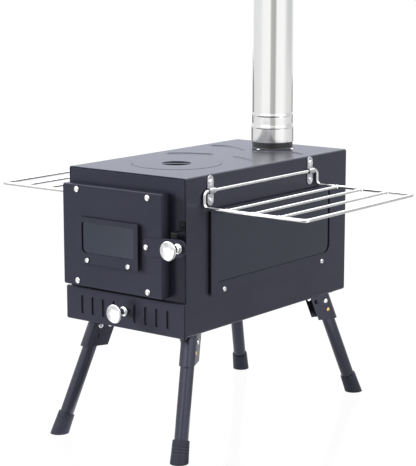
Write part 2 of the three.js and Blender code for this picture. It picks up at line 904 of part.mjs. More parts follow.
function latchStrap() {
  const half = strapWidth / 2;
  const shape = new THREE.Shape();
  shape.moveTo(-strapTail + strapCorner, -half);
  shape.lineTo(latchReach, -half);
  shape.absarc(latchReach, 0, half, -Math.PI / 2, Math.PI / 2);
  shape.lineTo(-strapTail + strapCorner, half);
  shape.quadraticCurveTo(-strapTail, half, -strapTail, half - strapCorner);
  shape.lineTo(-strapTail, -half + strapCorner);
  shape.quadraticCurveTo(-strapTail, -half, -strapTail + strapCorner, -half);
  const top = strapThickness + clear;
  const holes = [
    rod(latchRivetRadius + seat, -clear, top),
    rod(knobStudRadius + seat, -clear, top).translate(latchReach, 0, 0),
  ];
  return cut(prism(shape, 0, strapThickness, 10), ...holes);
}

function latchRivet() {
  const front = seat + strapThickness + seat;
  const back = -sheet - seat - thinSheet - seat;
  return turned([
    [0, back - latchRivetHead.tail],
    [latchRivetHead.tailRadius, back - latchRivetHead.tail],
    [latchRivetHead.tailRadius, back],
    [latchRivetRadius, back],
    [latchRivetRadius, front],
    [latchRivetHead.radius, front],
    [latchRivetHead.crownRadius, front + latchRivetHead.side],
    [0, front + latchRivetHead.height],
  ], tubeSides);
}

// The keeper is a hook over the strap's end: the strap swings up behind its lip
function keeperRivetPlace() {
  const place = towardsFront.clone();
  return place.setPosition(keeperRight - keeperWidth / 2, -seat - sheet, keeperArmZ + sheet + keeperBase / 2);
}

function latchKeeper() {
  const lipBack = -strapFront - keeperGap;
  const profile = new THREE.Shape([
    new THREE.Vector2(-seat, keeperArmZ),
    new THREE.Vector2(-seat, keeperArmZ + sheet + keeperBase),
    new THREE.Vector2(-seat - sheet, keeperArmZ + sheet + keeperBase),
    new THREE.Vector2(-seat - sheet, keeperArmZ + sheet),
    new THREE.Vector2(lipBack - sheet, keeperArmZ + sheet),
    new THREE.Vector2(lipBack - sheet, keeperArmZ - keeperLip),
    new THREE.Vector2(lipBack, keeperArmZ - keeperLip),
    new THREE.Vector2(lipBack, keeperArmZ),
  ]);
  const hook = prism(profile, keeperRight - keeperWidth, keeperRight).applyMatrix4(towardsRight);
  const rivet = fastener(keeperRivet, seat + 2 * sheet + clear).applyMatrix4(keeperRivetPlace());
  return join(hook, rivet);
}

const latch = groupAt(latchPlace.clone().multiply(new THREE.Matrix4().makeRotationZ(latchTiltAngle)));
piece('latch_strap', latchStrap(), 'paint', latch).position.set(0, 0, seat);
piece('latch_rivet', latchRivet(), 'zinc', latch);
piece('door_knob', knob(strapThickness + seat), 'chrome', latch)
  .position.set(latchReach, 0, seat + strapThickness + seat);
piece('latch_keeper', latchKeeper(), 'paint');

// ---- Ash drawer ----

const slotPlaces = [-1, 1].flatMap((side) => Array.from(
  { length: slotsPerSide },
  (_, i) => slotCentre + side * (firstSlot + i * slotPitch),
));
const drawerTrayFront = -drawerFrontDepth + sheet + seat;
const drawerKnobPlace = towardsFront.clone().setPosition(slotCentre, -drawerFrontDepth, drawerKnobZ);

function drawerFront() {
  const half = sideFace + drawerFrontOverhang;
  const shell = pan(
    -half, half, -drawerFrontDrop, drawerFrontHeight - drawerFrontDrop, millRound,
    -drawerFrontDepth, drawerFrontDepth - doorStandoff, sheet,
  );
  const slots = slotPlaces.map((x) => through(
    rectangle(x - slotWidth / 2, x + slotWidth / 2, slotBottom, slotTop, slotWidth / 2),
    -drawerFrontDepth - clear,
    0,
  ));
  const stud = rod(knobStudRadius + seat, -holeReach, clear).applyMatrix4(drawerKnobPlace);
  return cut(shell, ...slots, stud);
}

function ashTray() {
  const inner = trayHalf - trayWall;
  const low = sheet + seat;
  const front = drawerTrayFront + trayWall;
  const back = bodyDepth - trayFromBack;
  const outside = block(-trayHalf, trayHalf, drawerTrayFront, back, low, low + trayHeight);
  const inside = block(-inner, inner, front, back - trayWall, low + trayWall, bodyHeight);
  const windows = [-1, 1].map((side) => {
    const near = slotCentre + side * trayTab;
    const far = slotCentre + side * (firstSlot + (slotsPerSide - 1) * slotPitch + slotWidth);
    const [left, right] = [Math.min(near, far), Math.max(near, far)];
    return block(left, right, drawerTrayFront - clear, front + clear, low + trayLip, bodyHeight);
  });
  const stud = rod(knobStudRadius + seat, -holeReach, clear).applyMatrix4(drawerKnobPlace);
  return cut(outside, inside, ...windows, stud);
}

piece('drawer_front', drawerFront(), 'paint');
piece('ash_tray', ashTray(), 'paint');
piece('drawer_knob', knob(sheet + seat + trayWall + seat), 'chrome', groupAt(drawerKnobPlace))
  .position.set(0, 0, seat);

// ---- Side racks and their clips ----

function clipScrewPlaces() {
  return [-1, 1].flatMap((end) => [clipScrewTop, -clipScrewBottom].map((up) => {
    const place = towardsRight.clone();
    return place.setPosition(sideFace + seat + thinSheet, (end * clipSpacing) / 2, rackRodZ + up);
  }));
}

// One clip: a strap on the wall that arches over the rod, drawn as its section along the rod
function rackClip() {
  const inner = sideFace + seat;
  const outer = inner + thinSheet;
  const bore = rackWire + seat + clipPlay;
  const arch = bore + thinSheet;
  const innerAngle = Math.acos((inner - rackRodX) / bore);
  const outerAngle = Math.acos((outer - rackRodX) / arch);
  const section = new THREE.Shape();
  section.moveTo(inner, rackRodZ - clipBottom);
  section.lineTo(outer, rackRodZ - clipBottom);
  section.absarc(rackRodX, rackRodZ, arch, -outerAngle, outerAngle);
  section.lineTo(outer, rackRodZ + clipTop);
  section.lineTo(inner, rackRodZ + clipTop);
  section.absarc(rackRodX, rackRodZ, bore, innerAngle, -innerAngle, true);
  section.lineTo(inner, rackRodZ - clipBottom);
  const strap = prism(section, -clipWidth / 2, clipWidth / 2, 5).applyMatrix4(towardsFront);
  const half = clipWidth / 2;
  const outline = rectangle(-half, half, rackRodZ - clipBottom, rackRodZ + clipTop, half);
  const ends = prism(outline, inner - clear, inner + holeReach, 4).applyMatrix4(towardsRight);
  const screws = [clipScrewTop, -clipScrewBottom].map((up) => fastener(clipScrew, 2 * sheet + clear)
    .applyMatrix4(towardsRight).translate(outer, 0, rackRodZ + up));
  return join(overlap(strap, ends), ...screws);
}

// One closed wire: the rod in the clips, two drops to the stop, two arms and the outer bar
function sideRack() {
  const half = rackSpan / 2;
  const low = rackRodZ - rackDrop;
  const outside = rackRodX + rackReach;
  const halves = [-1, 1].map((end) => bentWire([
    [rackRodX, -end, rackRodZ],
    [rackRodX, end * half, rackRodZ],
    [rackRodX, end * half, low],
    [outside, end * half, low],
    [outside, -end, low],
  ], rackWire, rackBend));
  const bars = Array.from({ length: rackBars }, (_, i) => {
    const x = outside - (i + 1) * rackBarPitch;
    return rod(rackBarWire, -half, half, 8).applyMatrix4(towardsFront).translate(x, 0, low);
  });
  return join(...halves, ...bars);
}

for (const [side, place] of Object.entries(rackPlaces)) {
  const group = groupAt(place);
  const frontEnd = side === 'right' ? -1 : 1;
  piece(`rack_clip_${side}_front`, rackClip(), 'zinc', group)
    .position.set(0, (frontEnd * clipSpacing) / 2, 0);
  piece(`rack_clip_${side}_rear`, rackClip(), 'zinc', group)
    .position.set(0, (-frontEnd * clipSpacing) / 2, 0);
  piece(`${side}_rack`, sideRack(), 'chrome', group);
}

// ---- Legs: in each leg's frame x points outward, z up, and the origin is the pivot ----

function bracketRivetPlaces() {
  return bracketRivets.map((x) => {
    const place = new THREE.Matrix4().makeRotationX(Math.PI);
    return place.setPosition(x, 0, plateTop - sheet);
  });
}

function lean(geometry) {
  return geometry.rotateY(-splayAngle);
}

function acrossRod(radius, x = 0, z = 0) {
  const reach = 2 * channelOutside;
  return rod(radius, -reach, reach, 8).rotateX(Math.PI / 2).translate(x, 0, z);
}

function channelSection() {
  const shape = new THREE.Shape();
  shape.moveTo(-bracketDepth, -channelOutside);
  shape.lineTo(0, -channelOutside);
  shape.absarc(0, 0, channelOutside, -Math.PI / 2, Math.PI / 2);
  shape.lineTo(-bracketDepth, channelOutside);
  shape.lineTo(-bracketDepth, channelInside);
  shape.lineTo(0, channelInside);
  shape.absarc(0, 0, channelInside, Math.PI / 2, -Math.PI / 2, true);
  shape.lineTo(-bracketDepth, -channelInside);
  return shape;
}

// The channel leans with the leg, and is cut level above and below
function legBracket() {
  const channel = lean(prism(channelSection(), -2 * bracketBelowPivot, 2 * bracketDepth, 6));
  const above = block(-wayOff, wayOff, -wayOff, wayOff, plateTop - sheet / 2, wayOff);
  const below = block(-wayOff, wayOff, -wayOff, wayOff, -wayOff, -bracketBelowPivot);
  const plate = block(
    -bracketPlateInward, bracketPlateOutward, -channelOutside, channelOutside, plateTop - sheet, plateTop,
  );
  const rivets = bracketRivetPlaces()
    .map((place) => fastener(bracketRivet, seat + 2 * sheet).applyMatrix4(place));
  const holes = [
    acrossRod(boltRadius + seat),
    acrossRod(lockHoleRadius, -buttonDrop, 0),
    lean(acrossRod(lockHoleRadius, 0, -buttonDrop)),
  ];
  return join(cut(join(cut(channel, above, below), plate), ...holes), ...rivets);
}

function legTube(buttonSide) {
  const bore = legRadius - legWall;
  const end = -legLength + capFloor;
  const shell = turned([
    ...arcProfile(bore, Math.PI / 2, 0, 2),
    [bore, end],
    [legRadius, end],
    ...arcProfile(legRadius, 0, Math.PI / 2, 3),
  ], tubeSides);
  const buttonHole = rod(buttonRadius + seat, 0, 2 * legRadius)
    .rotateX((-buttonSide * Math.PI) / 2).translate(0, 0, -buttonDrop);
  return lean(cut(shell, acrossRod(boltRadius + seat), buttonHole));
}

function footCap() {
  const bore = legRadius + seat;
  const floor = -legLength + capFloor - seat;
  const top = -legLength + capHeight;
  const low = -legLength - capHeight / 2;
  const flare = (capBottomRadius - capTopRadius) / capHeight;
  const cap = lean(turned([
    [0, low],
    [capBottomRadius + (flare * capHeight) / 2, low],
    [capTopRadius, top],
    [bore, top],
    [bore, floor],
    [0, floor],
  ], capSides));
  const ground = -legLength * Math.cos(splayAngle);
  return cut(cap, block(-wayOff, wayOff, -wayOff, wayOff, -wayOff, ground));
}

function pivotBolt() {
  const face = channelOutside + seat;
  return turned([
    [0, -face - boltHeadHeight],
    [boltHeadRadius * 0.8, -face - boltHeadHeight],
    [boltHeadRadius, -face - boltHeadHeight * 0.5],
    [boltHeadRadius, -face],
    [boltRadius, -face],
    [boltRadius, face],
    [boltHeadRadius, face],
    [boltHeadRadius, face + boltHeadHeight * 0.5],
    [boltHeadRadius * 0.8, face + boltHeadHeight],
    [0, face + boltHeadHeight],
  ], pinSides).rotateX(Math.PI / 2);
}

// The button lies flush with the tube, with its leaf spring inside
function snapButton(buttonSide) {
  const root = legRadius - buttonLength;
  const button = turned([
    [0, root - springThickness / 2],
    [buttonRadius, root - springThickness / 2],
    [buttonRadius, legRadius - buttonCrown],
    [buttonRadius - buttonCrown, legRadius - buttonCrown / 3],
    [0, legRadius - buttonCrown / 9],
  ], pinSides).rotateX((-buttonSide * Math.PI) / 2).translate(0, 0, -buttonDrop);
  const inner = buttonSide * (root - springThickness);
  const outer = buttonSide * root;
  const spring = block(
    -springWidth / 2, springWidth / 2, Math.min(inner, outer), Math.max(inner, outer),
    -buttonDrop - springLength, -buttonDrop + buttonRadius,
  );
  return lean(join(button, spring));
}

for (const corner of legCorners) {
  const leg = groupAt(legPlace(corner));
  const buttonSide = -corner.right * corner.back;
  piece(`leg_bracket_${corner.name}`, legBracket(), 'gloss', leg);
  piece(`pivot_bolt_${corner.name}`, pivotBolt(), 'zinc', leg);
  piece(`leg_tube_${corner.name}`, legTube(buttonSide), 'gloss', leg);
  piece(`foot_cap_${corner.name}`, footCap(), 'rubber', leg);
  piece(`snap_button_${corner.name}`, snapButton(buttonSide), 'brass', leg);
}

// ---- The middle of the underside is the origin ----

stove.updateMatrixWorld(true);
const bounds = new THREE.Box3().setFromObject(stove, true);
const middle = bounds.getCenter(new THREE.Vector3());
stove.position.set(-middle.x, -middle.y, -bounds.min.z);
stove.updateMatrixWorld(true);

export default stove;
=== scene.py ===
import math

import bmesh
import bpy
from mathutils import Matrix, Vector
from mathutils.geometry import tessellate_polygon


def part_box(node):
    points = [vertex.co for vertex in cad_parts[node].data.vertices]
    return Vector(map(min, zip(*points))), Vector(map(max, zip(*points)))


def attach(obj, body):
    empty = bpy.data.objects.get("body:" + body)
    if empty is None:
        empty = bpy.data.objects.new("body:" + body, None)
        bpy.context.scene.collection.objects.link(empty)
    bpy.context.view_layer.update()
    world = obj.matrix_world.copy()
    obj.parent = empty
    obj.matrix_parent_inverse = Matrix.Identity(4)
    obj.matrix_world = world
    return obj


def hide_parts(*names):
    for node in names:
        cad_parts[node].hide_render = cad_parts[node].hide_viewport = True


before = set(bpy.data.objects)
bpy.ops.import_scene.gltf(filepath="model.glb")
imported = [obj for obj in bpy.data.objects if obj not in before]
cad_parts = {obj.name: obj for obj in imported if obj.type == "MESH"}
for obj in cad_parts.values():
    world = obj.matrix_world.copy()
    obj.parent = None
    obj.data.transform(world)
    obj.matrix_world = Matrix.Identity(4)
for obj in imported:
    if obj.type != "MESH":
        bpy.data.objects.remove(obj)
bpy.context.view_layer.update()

# A folding wood stove for a tent. Sizes are in millimetres in this script's helpers, measured from
# the middle of the body's front face at its underside, and become metres in each mesh.

MM = 0.001


class Span:
    """A frame node's box in millimetres, from the middle of the body's front face at its underside."""

    def __init__(self, node, origin=(0.0, 0.0, 0.0)):
        low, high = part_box(node)
        self.x0, self.y0, self.z0 = (low[i] / MM - origin[i] for i in range(3))
        self.x1, self.y1, self.z1 = (high[i] / MM - origin[i] for i in range(3))

    @property
    def centre(self):
        return ((self.x0 + self.x1) / 2, (self.y0 + self.y1) / 2, (self.z0 + self.z1) / 2)


_shell = Span("body_shell")
ORIGIN = (0.0, _shell.y0, _shell.z0)


def span(node):
    return Span(node, ORIGIN)


# ---- Sizes that the frame's boxes don't give ----

SHEET = 1.5
THIN_SHEET = 1.2
GAP = 0.25
EDGE = 0.3
BODY_HEIGHT = 213.5
BODY_BEND = 3.4
SLEEVE_STEPS = 8
MERGE = 0.0005
END_CORNER = 1.6
PAN_BEND = 2.2
PLATE_RIM = 9.0
PLATE_STEP = SHEET + GAP
DOOR_LAP = 12.0
DOOR_FACE = -15.0
DOOR_RIVETS = (62.6, 63.5)
POCKET = 3.5
PANE_LAP = 3
HINGE_PLAY = 0.12
KEEPER_TAB = 13.0
FLUE_BORE = 29.0
LID_HOLE = 62.5
LID_LEDGE = 56.5
GRIP_RADIUS = 21.0
GRIP_DEPTH = 8.0
GRIP_BAR = 6.0
GRIP_TURN = 37.6
RIB_WIDTH = 5.4
RIB_HEIGHT = 1.15
RIB_FADE = 7.0
LID_ARC = 109.0
RIVET_RING = 35.0
DRAWER_LAP = 3.5
SLOT_WIDTH = 5.0
SLOT_LOW = 9.5
SLOT_HIGH = 35.0
SLOT_CENTRE = -1.0
SLOT_FIRST = 18.5
SLOT_PITCH = 19.2
WIRE = 2.4
BAR_WIRE = 2.0
RACK_BEND = 7.0
BAR_PITCH = 42.0
ROD_Z = 192.2
ROD_OUT = 2.775
RACK_LOW_Z = 170.5
CLIP_WIDTH = 13.0
CLIP_RISE = 20.3
CLIP_FALL = 20.2
CLIP_BEND = 1.6
CLIP_SCREWS = (11, -12.7)
LATCH_PIVOT = (47.7, 119.2)
LATCH_REACH = 55.5
LATCH_TILT = math.radians(5)
STRAP_WIDTH = 24.4
LEG_PLAN = math.radians(65)
LEG_SPLAY = math.radians(21.7)
LEG_LENGTH = 162.5
LEG_RADIUS = 9.5
PIVOT = (82.5, 31.5, -13.3)
CHANNEL = 9.75
BRACKET_DEPTH = 20.5
BRACKET_BACK = 2.5
BRACKET_DROP = 29.0
BUTTON_DROP = 15.3
PIVOT_HOLE = 2.75
LOCK_HOLE = 3.5

SIDES = (("right", 1), ("left", -1))
LEGS = {"front_left": (-1, -1), "front_right": (1, -1), "rear_left": (-1, 1), "rear_right": (1, 1)}

# Photograph: the frame's size, the camera's place and where it looks
PHOTO = (416, 466)
FOCAL_PX = 1536.0
CAMERA_AT = (1327.9, -1545.2, 504.8)
CAMERA_YAW = math.radians(37.59)
CAMERA_PITCH = math.radians(10.42)


# ---- Places: drawing x, drawing y, then the way the sheet is thickened ----

def basis(x, y, z, at=(0, 0, 0)):
    m = Matrix((x, y, z)).transposed().to_4x4()
    m.translation = Vector(at)
    return m


def facing_front(x=0, y=0, z=0):
    return basis((1, 0, 0), (0, 0, 1), (0, -1, 0), (x, y, z))


def facing_back(x=0, y=0, z=0):
    return basis((-1, 0, 0), (0, 0, 1), (0, 1, 0), (x, y, z))


def facing_side(sign, x=0, y=0, z=0):
    return basis((0, sign, 0), (0, 0, 1), (sign, 0, 0), (x, y, z))


def facing_up(x=0, y=0, z=0):
    return Matrix.Translation((x, y, z))


# ---- Materials ----

def shader(name):
    mat = bpy.data.materials.new(name)
    mat.use_nodes = True
    tree = mat.node_tree
    return mat, tree, tree.nodes["Principled BSDF"]


def feed(tree, value, socket):
    """Links a socket to an input, or writes a plain value into it."""
    if isinstance(value, bpy.types.NodeSocket):
        tree.links.new(value, socket)
    else:
        socket.default_value = value


def node(tree, kind, inputs, **settings):
    """The outputs of a new shader node, whose inputs are sockets or plain values."""
    made = tree.nodes.new("ShaderNode" + kind)
    for key, value in settings.items():
        setattr(made, key, value)
    for key, value in inputs.items():
        feed(tree, value, made.inputs[key])
    return made.outputs


def grey(level):
    return (level, level, level, 1)


def spots(tree, scale, detail, stretch):
    """A noise in the object's own space. scale is in spots a metre."""
    place = node(tree, "TexCoord", {})["Object"]
    drawn = node(tree, "Mapping", {"Vector": place, "Scale": stretch})["Vector"]
    return node(tree, "TexNoise", {"Vector": drawn, "Scale": scale, "Detail": detail})["Fac"]


def ranged(tree, value, low, high, source=(0.3, 0.7)):
    """The value, stretched from the source range to low and high."""
    return node(tree, "MapRange", {
        "Value": value, "From Min": source[0], "From Max": source[1], "To Min": low, "To Max": high,
    })["Result"]


def mixed(tree, factor, first, second):
    """A blend of two colours."""
    return node(tree, "Mix", {"Factor": factor, "A": first, "B": second}, data_type="RGBA")["Result"]


def arithmetic(tree, operation, *values):
    return node(tree, "Math", dict(enumerate(values)), operation=operation)["Value"]


def finish(name, dark, light, rough, metallic=0.0, grain=900.0, bump=0.1, depth=0.00004,
           stretch=(1, 1, 1), cloud=14.0, specular=0.5, tint=(1, 1, 1)):
    """A surface whose colour and roughness drift slowly, over a fine grain that stands up as bump."""
    mat, tree, bsdf = shader(name)
    drift = spots(tree, cloud, 4.0, stretch)
    fine = spots(tree, grain, 3.0, stretch)
    values = {
        "Base Color": mixed(tree, ranged(tree, drift, 0, 1), (*dark, 1), (*light, 1)),
        "Roughness": ranged(tree, fine, rough[0], rough[1], (0.2, 0.8)),
        "Metallic": metallic,
        "Specular IOR Level": specular,
        "Specular Tint": (*tint, 1),
        "Normal": node(tree, "Bump", {"Strength": bump, "Distance": depth, "Height": fine})["Normal"],
    }
    for key, value in values.items():
        feed(tree, value, bsdf.inputs[key])
    return mat


PAINT_SHEEN = (0.70, 0.72, 1.0)

MATERIALS = {
    "paint": finish("matte_blue_black_paint", (0.037, 0.039, 0.056), (0.043, 0.045, 0.064),
                    (0.22, 0.30), grain=1500, bump=0.16, depth=0.00002, specular=0.24, tint=PAINT_SHEEN),
    "leg": finish("satin_black_paint", (0.020, 0.020, 0.026), (0.027, 0.027, 0.034),
                  (0.20, 0.30), grain=1300, bump=0.15, depth=0.00003, specular=0.85, tint=PAINT_SHEEN),
    "collar": finish("black_collar_paint", (0.036, 0.036, 0.039), (0.044, 0.044, 0.048),
                     (0.30, 0.40), grain=1300, bump=0.15, depth=0.00003, specular=0.6),
    "pipe": finish("drawn_stainless", (0.86, 0.86, 0.855), (0.94, 0.94, 0.93), (0.09, 0.17),
                   metallic=1.0, grain=1400, bump=0.05, depth=0.00002, stretch=(1, 1, 0.012), cloud=60),
    "wire": finish("polished_wire", (0.66, 0.66, 0.66), (0.80, 0.80, 0.79), (0.10, 0.20),
                   metallic=1.0, grain=2600, bump=0.05, depth=0.00001, cloud=90),
    "chrome": finish("turned_chrome", (0.62, 0.62, 0.63), (0.92, 0.92, 0.93), (0.06, 0.14),
                     metallic=1.0, grain=1800, bump=0.06, depth=0.00002, cloud=160),
    "rivet": finish("bright_rivet", (0.80, 0.81, 0.83), (0.92, 0.93, 0.95), (0.10, 0.20),
                    metallic=1.0, grain=3200, bump=0.08, depth=0.00001, cloud=260),
    "zinc": finish("satin_zinc", (0.50, 0.51, 0.53), (0.64, 0.65, 0.67), (0.24, 0.36),
                   metallic=1.0, grain=3200, bump=0.12, depth=0.00002, cloud=160),
    "brass": finish("snap_brass", (0.62, 0.42, 0.16), (0.78, 0.56, 0.26), (0.16, 0.28),
                    metallic=1.0, grain=3000, bump=0.08, depth=0.00001, cloud=200),
    "iron": finish("cast_grate_iron", (0.020, 0.019, 0.019), (0.050, 0.046, 0.043), (0.60, 0.85),
                   metallic=0.4, grain=700, bump=0.5, depth=0.0003, cloud=30),
    # hook: near-black painted shade, so the keeper and its rivet stay dark in the shadow beside the door
    "hook": finish("painted_shade_black_steel", (0.003, 0.003, 0.004), (0.006, 0.006, 0.007), (0.34, 0.46),
                   grain=1300, bump=0.15, depth=0.00003, specular=0.2),
    "inside": finish("inner_steel", (0.018, 0.018, 0.021), (0.035, 0.034, 0.036), (0.45, 0.65),
                     bump=0.2, depth=0.00005, cloud=20),
    "glass": finish("dark_window_glass", (0.008, 0.011, 0.024), (0.012, 0.015, 0.030), (0.03, 0.07),
                    grain=30, bump=0.02, depth=0.00005, specular=0.72, cloud=8, tint=(0.80, 0.86, 1.0)),
    # gasket: near-black, partly the fibre strip's own dark colour and partly painted shade for the gap under
    # each window cover
    "gasket": finish("fibre_strip_with_painted_shade", (0.003, 0.003, 0.003), (0.007, 0.007, 0.007), (0.80, 0.95),
                     grain=2200, bump=0.6, depth=0.0002, cloud=300),
    "rubber": finish("moulded_rubber", (0.012, 0.012, 0.017), (0.017, 0.017, 0.023), (0.46, 0.60),
                     grain=2000, bump=0.3, depth=0.00006, cloud=60, specular=0.6, tint=PAINT_SHEEN),
}


# ---- Outlines, each a closed loop in the drawing plane that can be drawn in or out ----

class Outline:
    """A rectangle with a radius at each corner: bottom left, bottom right, top right, top left."""

    def __init__(self, left, right, bottom, top, radii, steps=6):
        self.sides = (left, right, bottom, top)
        self.radii = radii if isinstance(radii, (tuple, list)) else (radii,) * 4
        self.steps = steps

    def points(self, inset=0.0):
        left, right, bottom, top = self.sides
        left, right, bottom, top = left + inset, right - inset, bottom + inset, top - inset
        corners = (
            (left, bottom, 1, 1, 180), (right, bottom, -1, 1, 270),
            (right, top, -1, -1, 0), (left, top, 1, -1, 90),
        )
        made = []
        for (x, y, across, up, start), radius in zip(corners, self.radii):
            round_ = max(radius - inset, 0.02)
            for i in range(self.steps + 1):
                angle = math.radians(start + 90 * i / self.steps)
                made.append((
                    x + across * round_ + round_ * math.cos(angle),
                    y + up * round_ + round_ * math.sin(angle),
                ))
        return made


def circle(x, y, radius, steps=8):
    return Outline(x - radius, x + radius, y - radius, y + radius, radius, steps)


def arc(radius, start, end, steps, x=0.0):
    """Points round (x, 0) from one angle to another, in degrees."""
    angles = [math.radians(start + (end - start) * i / steps) for i in range(steps + 1)]
    return [(x + radius * math.cos(a), radius * math.sin(a)) for a in angles]


def ring(radius, sides):
    return arc(radius, 0, 360, sides)[:-1]


# ---- Mesh builder ----

class Builder:
    def __init__(self):
        self.points = []
        self.faces = []

    def loop(self, points):
        start = len(self.points)
        self.points.extend(Vector(p) for p in points)
        return list(range(start, len(self.points)))

    def bridge(self, first, second, closed=True):
        count = len(first)
        for i in range(count if closed else count - 1):
            j = (i + 1) % count
            self.faces.append((first[i], first[j], second[j], second[i]))

    def chain(self, loops, closed=True):
        for first, second in zip(loops, loops[1:]):
            self.bridge(first, second, closed)

    def fill(self, outer, holes=()):
        loops = [outer, *holes]
        flat = [i for loop in loops for i in loop]
        coords = [[self.points[i] for i in loop] for loop in loops]
        self.faces.extend(tuple(flat[i] for i in triangle) for triangle in tessellate_polygon(coords))

    def mesh(self, place=None):
        place = place or Matrix.Identity(4)
        mesh = bpy.data.meshes.new("mesh")
        mesh.from_pydata([place @ p for p in self.points], [], self.faces)
        work = bmesh.new()
        work.from_mesh(mesh)
        bmesh.ops.remove_doubles(work, verts=work.verts, dist=MERGE)
        bmesh.ops.dissolve_degenerate(work, edges=work.edges, dist=MERGE)
        bmesh.ops.recalc_face_normals(work, faces=work.faces)
        work.to_mesh(mesh)
        work.free()
        return mesh


def to_row(mesh):
    """From millimetres about the body's front to metres in the row frame."""
    mesh.transform(Matrix.Scale(MM, 4) @ Matrix.Translation(ORIGIN))
    return mesh


def smooth(obj, angle=38):
    obj.data.shade_smooth()
    obj.data.set_sharp_from_angle(angle=math.radians(angle))
    weighted = obj.modifiers.new("weighted", "WEIGHTED_NORMAL")
    weighted.keep_sharp = True
    weighted.weight = 90


def placed(name, data):
    obj = bpy.data.objects.new(name, data)
    bpy.context.scene.collection.objects.link(obj)
    return obj


def add(name, mesh, body_name, finish_name, stands_for=None, angle=38):
    """A piece of the object: its mesh in millimetres, the body it rides on and its finish."""
    obj = placed(name, to_row(mesh))
    obj.data.name = name
    obj.data.materials.clear()
    obj.data.materials.append(MATERIALS[finish_name])
    smooth(obj, angle)
    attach(obj, body_name)
    if stands_for:
        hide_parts(stands_for)


def add_fasteners(name, heads, body_name, finish_name="rivet"):
    add(name, joined(*heads), body_name, finish_name)


def joined(*meshes):
    work = bmesh.new()
    for mesh in meshes:
        work.from_mesh(mesh)
        bpy.data.meshes.remove(mesh)
    made = bpy.data.meshes.new("mesh")
    work.to_mesh(made)
    work.free()
    return made


def quarter(steps=3):
    return [math.radians(90) * i / steps for i in range(steps + 1)]


def edge_loops(builder, outline, sign, front, back, edge):
    """Loops round one outline, from the front face over a rounded edge to the back face."""
    loops = []
    for start, way, turns in ((front, -1, quarter()), (back, 1, reversed(quarter()))):
        for angle in turns:
            inset = sign * edge * (1 - math.sin(angle))
            height = start + way * edge * (1 - math.cos(angle))
            loops.append(builder.loop((x, y, height) for x, y in outline.points(inset)))
    builder.chain(loops)
    return loops[0], loops[-1]


def plate(outer, holes, back, front, place, edge=EDGE):
    """A flat sheet between two heights, with rounded edges outside and round each hole."""
    b = Builder()
    ends = [edge_loops(b, outer, 1, front, back, edge)]
    ends += [edge_loops(b, hole, -1, front, back, edge) for hole in holes]
    for outside, *inside in zip(*ends):
        b.fill(outside, inside)
    return b.mesh(place)


def pan(outer, holes, depth, place, wall=SHEET, bend=PAN_BEND, edge=EDGE):
    """A folded pan: its face at height 0, its rim turned back to -depth."""
    b = Builder()
    loops = []
    for angle in quarter(5):
        inset = bend * (1 - math.sin(angle))
        loops.append(b.loop((x, y, -bend * (1 - math.cos(angle))) for x, y in outer.points(inset)))
    rim = [(0, -depth + edge), (edge * 0.3, -depth + edge * 0.3), (edge, -depth)]
    rim += [(wall - edge, -depth), (wall - edge * 0.3, -depth + edge * 0.3), (wall, -depth + edge)]
    loops += [b.loop((x, y, height) for x, y in outer.points(inset)) for inset, height in rim]
    inner = max(bend - wall, 0.4)
    for angle in reversed(quarter(4)):
        inset = wall + inner * (1 - math.sin(angle))
        height = -wall - inner * (1 - math.cos(angle))
        loops.append(b.loop((x, y, height) for x, y in outer.points(inset)))
    b.chain(loops)
    ends = [edge_loops(b, hole, -1, 0, -wall, edge) for hole in holes]
    for outside, *inside in zip((loops[0], loops[-1]), *ends):
        b.fill(outside, inside)
    return b.mesh(place)


def softened(profile, radius, steps=3, closed=False):
    """The profile with each corner rounded, as far as its two sides allow."""
    count = len(profile)
    made = []
    for i, corner in enumerate(profile):
        if not closed and i in (0, count - 1):
            made.append(corner)
            continue
        before, here, after = (Vector(profile[(i + k) % count]) for k in (-1, 0, 1))
        into, away = before - here, after - here
        reach = min(radius, into.length * 0.45, away.length * 0.45)
        start, end = here + into.normalized() * reach, here + away.normalized() * reach
        for k in range(steps + 1):
            t = k / steps
            made.append(tuple(start * (1 - t) ** 2 + here * 2 * t * (1 - t) + end * t ** 2))
    return made


def turned(profile, place=None, sides=40, closed=False):
    """Turned about the drawing's third axis, from a profile of (radius, height)."""
    b = Builder()
    loops = [b.loop((x, y, height) for x, y in ring(radius, sides)) for radius, height in profile]
    if closed:
        loops.append(loops[0])
    b.chain(loops)
    return b.mesh(place)


def dome(radius, height, depth, place, sides=24):
    """A round rivet head, with the stub of its shank below it."""
    shank = radius * 0.45
    rise = [(radius * math.cos(a), height * math.sin(a) ** 0.9) for a in quarter(6)[1:-1]]
    profile = [(0, -depth), (shank, -depth), (shank, 0), (radius * 0.94, 0), (radius, height * 0.12)]
    return turned(profile + rise + [(0, height)], place, sides)


def screw(radius, height, depth, place, sides=28):
    """A pan head with a cross recess."""
    shank = radius * 0.42
    profile = [(0, -depth), (shank, -depth), (shank, 0), (radius * 0.96, 0), (radius, height * 0.18),
               (radius * 0.97, height * 0.55), (radius * 0.82, height * 0.88), (radius * 0.5, height),
               (0, height)]
    arm, width = radius * 0.52, radius * 0.17
    cross = Outline(-arm, arm, -width, width, width * 0.5, 2)
    upright = Outline(-width, width, -arm, arm, width * 0.5, 2)
    tools = [plate(bar, [], height * 0.45, height + 1, None, 0.05) for bar in (cross, upright)]
    return transformed(carved(turned(profile, None, sides), tools), place)


def transformed(mesh, place):
    mesh.transform(place)
    return mesh


def rounded(obj, width):
    """Rounds the sharp edges with a bevel."""
    mod = obj.modifiers.new("round", "BEVEL")
    mod.width = width
    mod.segments = 2
    mod.limit_method = "ANGLE"
    mod.angle_limit = math.radians(40)


